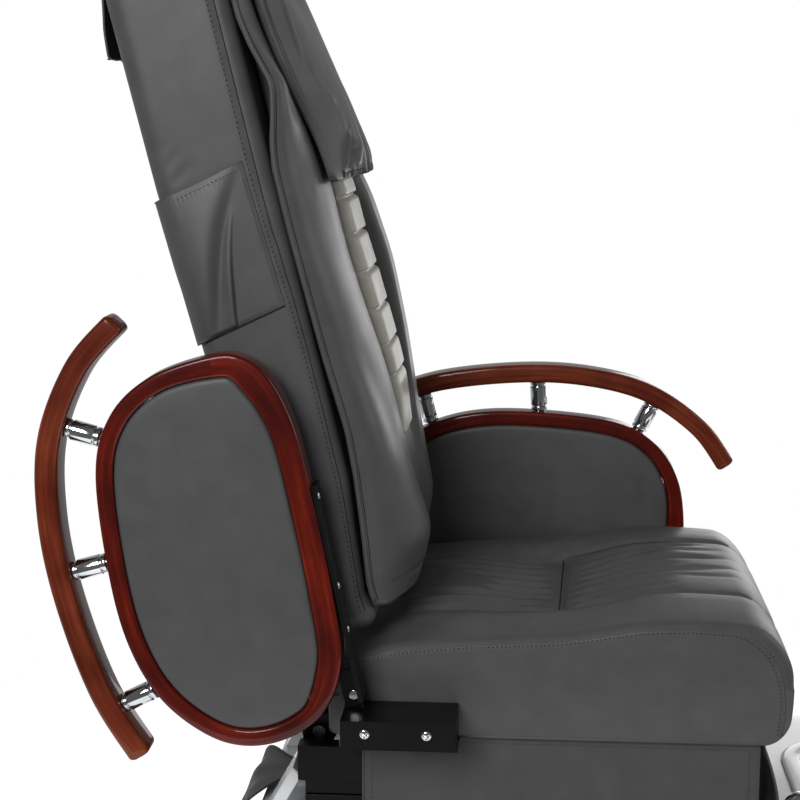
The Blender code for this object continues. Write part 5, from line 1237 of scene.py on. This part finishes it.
def build_basin():
    """Basin: rounded rectangles stacked from its outer floor up to a rolled rim and down to a floor rounded to 36 mm,
    with a drain and two jets."""
    def ring(grow, z):
        """The basin's outline, grown, at a height."""
        return raised(outline(BASIN_X - BASIN_HALF[0] - grow, BASIN_X + BASIN_HALF[0] + grow, BASIN_HALF[1] + grow,
                              max(0.07 + grow, 0.012), max(0.07 + grow, 0.012)), z)
    low, top = 0.1103, 0.3253
    stack = [(-0.060, low), (-0.020, low), (-0.005, low + 0.006), (-0.0004, low + 0.02), (-0.0004, top - 0.004),
             (-0.0004, top), (0.020, top), (0.0218, top + 0.001), (0.0220, top + 0.0022), (0.0205, top + 0.0042),
             (0.017, top + 0.005), (0.000, top + 0.005), (-0.003, top + 0.0042), (-0.0052, top + 0.0020),
             (-0.006, top - 0.003), (-0.0065, top - 0.02)]
    stack += [(-0.0065 - 0.006 * k, top - 0.02 - k * (top - low - 0.062)) for k in (0.33, 0.66, 1.0)]
    for t in np.linspace(0.15, 1.0, 7) * math.pi / 2:
        stack.append((-0.0125 - 0.036 * (1 - math.cos(t)), low + 0.006 + 0.036 * (1 - math.sin(t))))
    bowl = skin("bowl", [ring(*level) for level in stack], ACRYLIC, sharp=45)
    place_piece(bowl, "base", ["basin_bowl"])
    drain = [(0.032, 0), (0.032, 0.002), (0.029, 0.0045), (0.026, 0.0046), (0.0255, 0.003), (0.022, 0.003),
             (0.0215, 0.0052), (0.018, 0.0056), (0.0175, 0.0036), (0.014, 0.0036), (0.0135, 0.0058), (0.008, 0.006),
             (0.0, 0.006)]
    place_piece(lathe("drain", drain, (BASIN_X - BASIN_HALF[0] / 2, 0, BASIN_FLOOR_Z), UP, CHROME, 48, 0.0004), "base",
                ["drain_strainer"])
    wall = BASIN_X - BASIN_HALF[0] + 0.0063
    jet = [(0.026, 0), (0.026, 0.004), (0.0235, 0.0075), (0.0205, 0.0085), (0.019, 0.006), (0.013, 0.005),
           (0.0118, 0.0115), (0.0085, 0.012), (0.007, 0.006), (0.0, 0.0055)]
    for side, name in SIDES:
        place_piece(lathe("jet_" + name, jet, (wall, side * 0.085, 0.19), (1, 0, 0), PLASTIC, 48, 0.0006), "base",
                    ["jet_nozzle_" + name])


def build_footrest():
    """Foot rest: turned column and stem, and a pad crowned by 4 mm as a product of two parabolas, its sides drawn in
    by a cosine."""
    x = FOOTREST_X
    column = [(0.0, 0), (0.034, 0), (0.034, 0.003), (0.0275, 0.006), (0.026, 0.010), (0.026, 0.122), (0.0285, 0.124),
              (0.0285, 0.1315), (0.0265, 0.1334), (0.0180, 0.1334), (0.0180, 0.128)]
    place_piece(lathe("rest_column", column, (x, 0, BASIN_FLOOR_Z), UP, CHROME, 56), "base",
                ["footrest_column"])
    stem = [(0.0, 0.150), (0.017, 0.150), (0.017, 0.326), (0.030, 0.328), (0.030, 0.335), (0.0, 0.335)]
    place_piece(lathe("rest_stem", stem, (x, 0, 0), UP, CHROME, 56), "footrest", ["footrest_stem"])
    places, faces = block((46, 64, 20))
    half = np.array([0.070, 0.100, 0.0225])
    local = rounded(places, half, 0.016)
    flat = local / half
    local[:, 2] += 0.004 * (1 - flat[:, 0] ** 2) * (1 - flat[:, 1] ** 2) * np.maximum(flat[:, 2], 0) - 0.004 * (
        flat[:, 2] > 0)
    pull = 0.0030 * np.cos(flat[:, 2] * math.pi / 2)
    local[:, :2] *= 1 - pull[:, None] / half[:2]
    points = local + (x, 0.0, 0.3353 + 0.0225)
    band = outline(x - 0.0685, x + 0.0685, 0.0985, 0.018, 0.018)
    seam = raised(np.vstack([band, band[:1]]), 0.372)
    points = carve(points, faces, [(seam, 0.0035, 0.0016, 0.0)])
    pad = add_mesh("rest_pad", points, faces, LEATHER)
    place_piece(pad, "footrest", ["footrest_pad"])
    row = raised(np.vstack([band, band[:1]]), 0.3685)
    stitches("rest_stitch", (points, faces), row, "footrest")


def build_tap():
    """Tap: turned valve, a knob with twelve flutes sunk by 1 less the root of a cosine, and a bent spout with collar
    and nose."""
    low = DECK_Z + 0.0003
    body = [(0, 0), (0.029, 0), (0.029, 0.004), (0.0265, 0.0065), (0.022, 0.009), (0.021, 0.013), (0.021, 0.070),
            (0.0195, 0.0725), (0.0195, 0.0765), (0.021, 0.079), (0.021, 0.0826), (0, 0.0826)]
    place_piece(lathe("valve", body, (TAP_X, TAP_Y, low), UP, CHROME, 56), "base", ["tap_body"])
    knob = [(0, 0), (0.0215, 0), (0.0238, 0.003), (0.024, 0.006), (0.024, 0.016), (0.0228, 0.017), (0.0228, 0.0185),
            (0.0236, 0.0195)] + [(0.0236 * math.cos(t), 0.0195 + 0.0227 * math.sin(t))
                                 for t in np.linspace(0.15, 1.45, 12)] + [(0, 0.0425)]
    made = lathe("knob", knob, (TAP_X, TAP_Y, 0.4085), UP, CHROME, 96, 0.0006)
    points = vertices(made.data)
    flat = points[:, :2] - (TAP_X, TAP_Y)
    turn = np.arctan2(flat[:, 1], flat[:, 0])
    ribs = 0.0009 * (1 - np.abs(np.cos(6 * turn)) ** 0.5) * bump((points[:, 2] - 0.419) / 0.007)
    points[:, :2] -= flat / np.maximum(np.linalg.norm(flat, axis=1, keepdims=True), 1e-6) * ribs[:, None]
    made.data.vertices.foreach_set("co", points.ravel())
    place_piece(made, "tap_knob", ["tap_knob"])
    top = low + 0.09
    route = [(0, low + 0.006), (0, low + 0.054), (0.015, top - 0.011), (0.060, top), (0.1275, top - 0.011),
             (0.150, top - 0.030)]
    path = catmull([(BASIN_X, TAP_Y + reach, z) for reach, z in route], 10)
    place_piece(tube("spout", path, 0.011, CHROME, 28), "tap_spout", ["tap_spout"])
    collar = [(0.0, 0), (0.021, 0), (0.021, 0.006), (0.0185, 0.0085), (0.013, 0.0105), (0.0112, 0.012)]
    place_piece(lathe("spout_collar", collar, (BASIN_X, TAP_Y, low), UP, CHROME, 48), "tap_spout")
    nose = [(0.0112, -0.012), (0.0122, -0.011), (0.0122, 0.000), (0.0112, 0.0012), (0.0090, 0.0012), (0.0088, -0.002),
            (0.0, -0.002)]
    place_piece(lathe("spout_nose", nose, path[-1], path[-1] - path[-2], CHROME, 40, 0.0004), "tap_spout")


build_base()
build_basin()
build_footrest()
build_tap()

# Plain metal and board pieces keep their solid's shape, with eased edges
for eased, eased_body, eased_slot, eased_width in (
        ("seat_stand", "base", "black_steel", 0.0020), ("slide_rail_right", "base", "black_steel", 0.0010),
        ("slide_rail_left", "base", "black_steel", 0.0010), ("fairing_right", "base", "white_acrylic", 0.0022),
        ("fairing_left", "base", "white_acrylic", 0.0022), ("floor_plate", "base", "bright_steel", 0.0008),
        ("seat_frame", "carriage", "black_steel", 0.0016), ("seat_pan", "carriage", "plywood", 0.0012),
        ("arm_bracket_right", "carriage", "black_steel", 0.0015),
        ("arm_bracket_left", "carriage", "black_steel", 0.0015),
        ("recline_motor", "carriage", "black_steel", 0.0020), ("actuator_rod", "actuator", "bright_steel", 0.0010),
        ("arm_bolt_right", "carriage", "chrome", 0.0008), ("arm_bolt_left", "carriage", "chrome", 0.0008)):
    bevelled(eased + "_eased", eased, FINISHES[eased_slot], eased_body, eased_width)
for bracket_side, bracket_name in SIDES:
    for screw_index, screw_x in enumerate((-0.430, -0.357)):
        screw("bracket_screw_%s_%d" % (bracket_name, screw_index + 1), (screw_x, bracket_side * 0.325, 0.5215),
              (0.0, bracket_side, 0.0), 0.0062, 0.0030, "carriage")


# Stage, camera and light

CAMERA_LENS_MM, CAMERA_SENSOR_MM = 76.45, 36.0
CAMERA_PLACE = (-0.2404, -2.218, 1.243)
CAMERA_DOWN, CAMERA_LEFT = math.radians(9.64), math.radians(4.457)
AMBIENT = 0.21
# Lamps: name, place, target, size, watts
LAMPS = (("key", (-1.4, -3.4, 2.5), (-0.3, 0.0, 0.85), (1.5, 1.5), 96.0),
         ("fill", (2.6, 0.5, 2.1), (-0.1, 0.0, 0.7), (1.2, 1.6), 17.0),
         ("rim", (1.2, 3.0, 0.95), (0.1, 0.0, 0.65), (2.0, 1.2), 16.0))


def build_camera(scene):
    """The photo's camera."""
    lens = bpy.data.cameras.new("camera")
    lens.lens = CAMERA_LENS_MM
    lens.sensor_width = CAMERA_SENSOR_MM
    camera = bpy.data.objects.new("camera", lens)
    camera.location = CAMERA_PLACE
    camera.rotation_euler = (math.pi / 2 - CAMERA_DOWN, 0.0, CAMERA_LEFT)
    scene.collection.objects.link(camera)
    scene.camera = camera


def build_room(scene):
    """White to the camera; mirrors see a pale backdrop, and a room that is dim overhead and behind the photographer,
    as in a studio; everything else gets an even ambient light."""
    world = bpy.data.worlds.new("studio")
    scene.world = world
    world.use_nodes = True
    tree = world.node_tree
    path = add_node(tree, "ShaderNodeLightPath")
    seen = add_node(tree, "ShaderNodeMath", {0: path.outputs["Is Camera Ray"], 1: path.outputs["Is Glossy Ray"]},
                    operation="MAXIMUM")
    seen = add_node(tree, "ShaderNodeMath", {0: seen.outputs[0], 1: path.outputs["Is Transmission Ray"]},
                    operation="MAXIMUM")
    way = add_node(tree, "ShaderNodeVectorMath", {0: add_node(tree, "ShaderNodeTexCoord").outputs["Generated"],
                                                  1: (0.0, 1.0, -0.6)}, operation="DOT_PRODUCT")
    room = add_node(tree, "ShaderNodeMapRange", {"Value": way.outputs["Value"], "From Min": -0.5, "From Max": 0.6,
                                                 "To Min": 0.12, "To Max": 0.50})
    direct = add_node(tree, "ShaderNodeMath", {0: room.outputs["Result"], 1: path.outputs["Is Camera Ray"]},
                      operation="MAXIMUM")
    strength = add_node(tree, "ShaderNodeMix", {0: seen.outputs[0], 2: AMBIENT, 3: direct.outputs[0]})
    sky = tree.nodes["Background"]
    sky.inputs["Color"].default_value = (1.0, 1.0, 1.0, 1.0)
    tree.links.new(strength.outputs[0], sky.inputs["Strength"])


def build_lamps(scene):
    """Soft boxes: key from the photographer's left, fill from the front of the chair, rim low behind its far side."""
    for name, place, target, size, power in LAMPS:
        light = bpy.data.lights.new(name, "AREA")
        light.shape = "RECTANGLE"
        light.size, light.size_y = size
        light.energy = power
        made = bpy.data.objects.new(name, light)
        made.location = place
        made.visible_camera = False
        made.rotation_euler = (Vector(target) - Vector(place)).to_track_quat("-Z", "Y").to_euler()
        scene.collection.objects.link(made)


def build_floor():
    """A pale disc that keeps the chair's shadow: half its own matt surface and half a glow to the camera and to
    mirrors, the matt surface alone to other rays."""
    floor, tree, shader = new_finish("floor", Roughness=0.6, Specular_IOR_Level=0.2)
    shader.inputs["Base Color"].default_value = (0.86, 0.86, 0.86, 1.0)
    path = add_node(tree, "ShaderNodeLightPath")
    glow = add_node(tree, "ShaderNodeEmission", {"Color": (1.0, 1.0, 1.0, 1.0), "Strength": 1.78})
    seen = add_node(tree, "ShaderNodeMath", {0: path.outputs["Is Camera Ray"], 1: path.outputs["Is Glossy Ray"]},
                    operation="MAXIMUM")
    share = add_node(tree, "ShaderNodeMath", {0: seen.outputs[0], 1: 0.5}, operation="MULTIPLY")
    both = add_node(tree, "ShaderNodeMixShader", {0: share.outputs[0], 1: shader.outputs[0], 2: glow.outputs[0]})
    tree.links.new(both.outputs[0], tree.nodes["Material Output"].inputs["Surface"])
    turn = np.linspace(0, 2 * math.pi, 96, endpoint=False)
    rings = [np.stack([radius * np.cos(turn) - 0.1, radius * np.sin(turn), 0 * turn - 0.0005], 1)
             for radius in (0.01, 0.6, 1.2, 1.7)]
    quads, _ = grid_quads(len(rings), len(turn), False, True)
    ground = add_mesh("floor", np.vstack(rings), quads, floor, closed=False)


bpy.context.scene.view_settings.view_transform = "Standard"
build_camera(bpy.context.scene)
build_room(bpy.context.scene)
build_lamps(bpy.context.scene)
build_floor()

# Solids that still show take the same finishes
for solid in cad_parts.values():
    for material_slot in solid.material_slots:
        finish = FINISHES.get(material_slot.material.name.split(".")[0])
        if finish:
            material_slot.material = finish
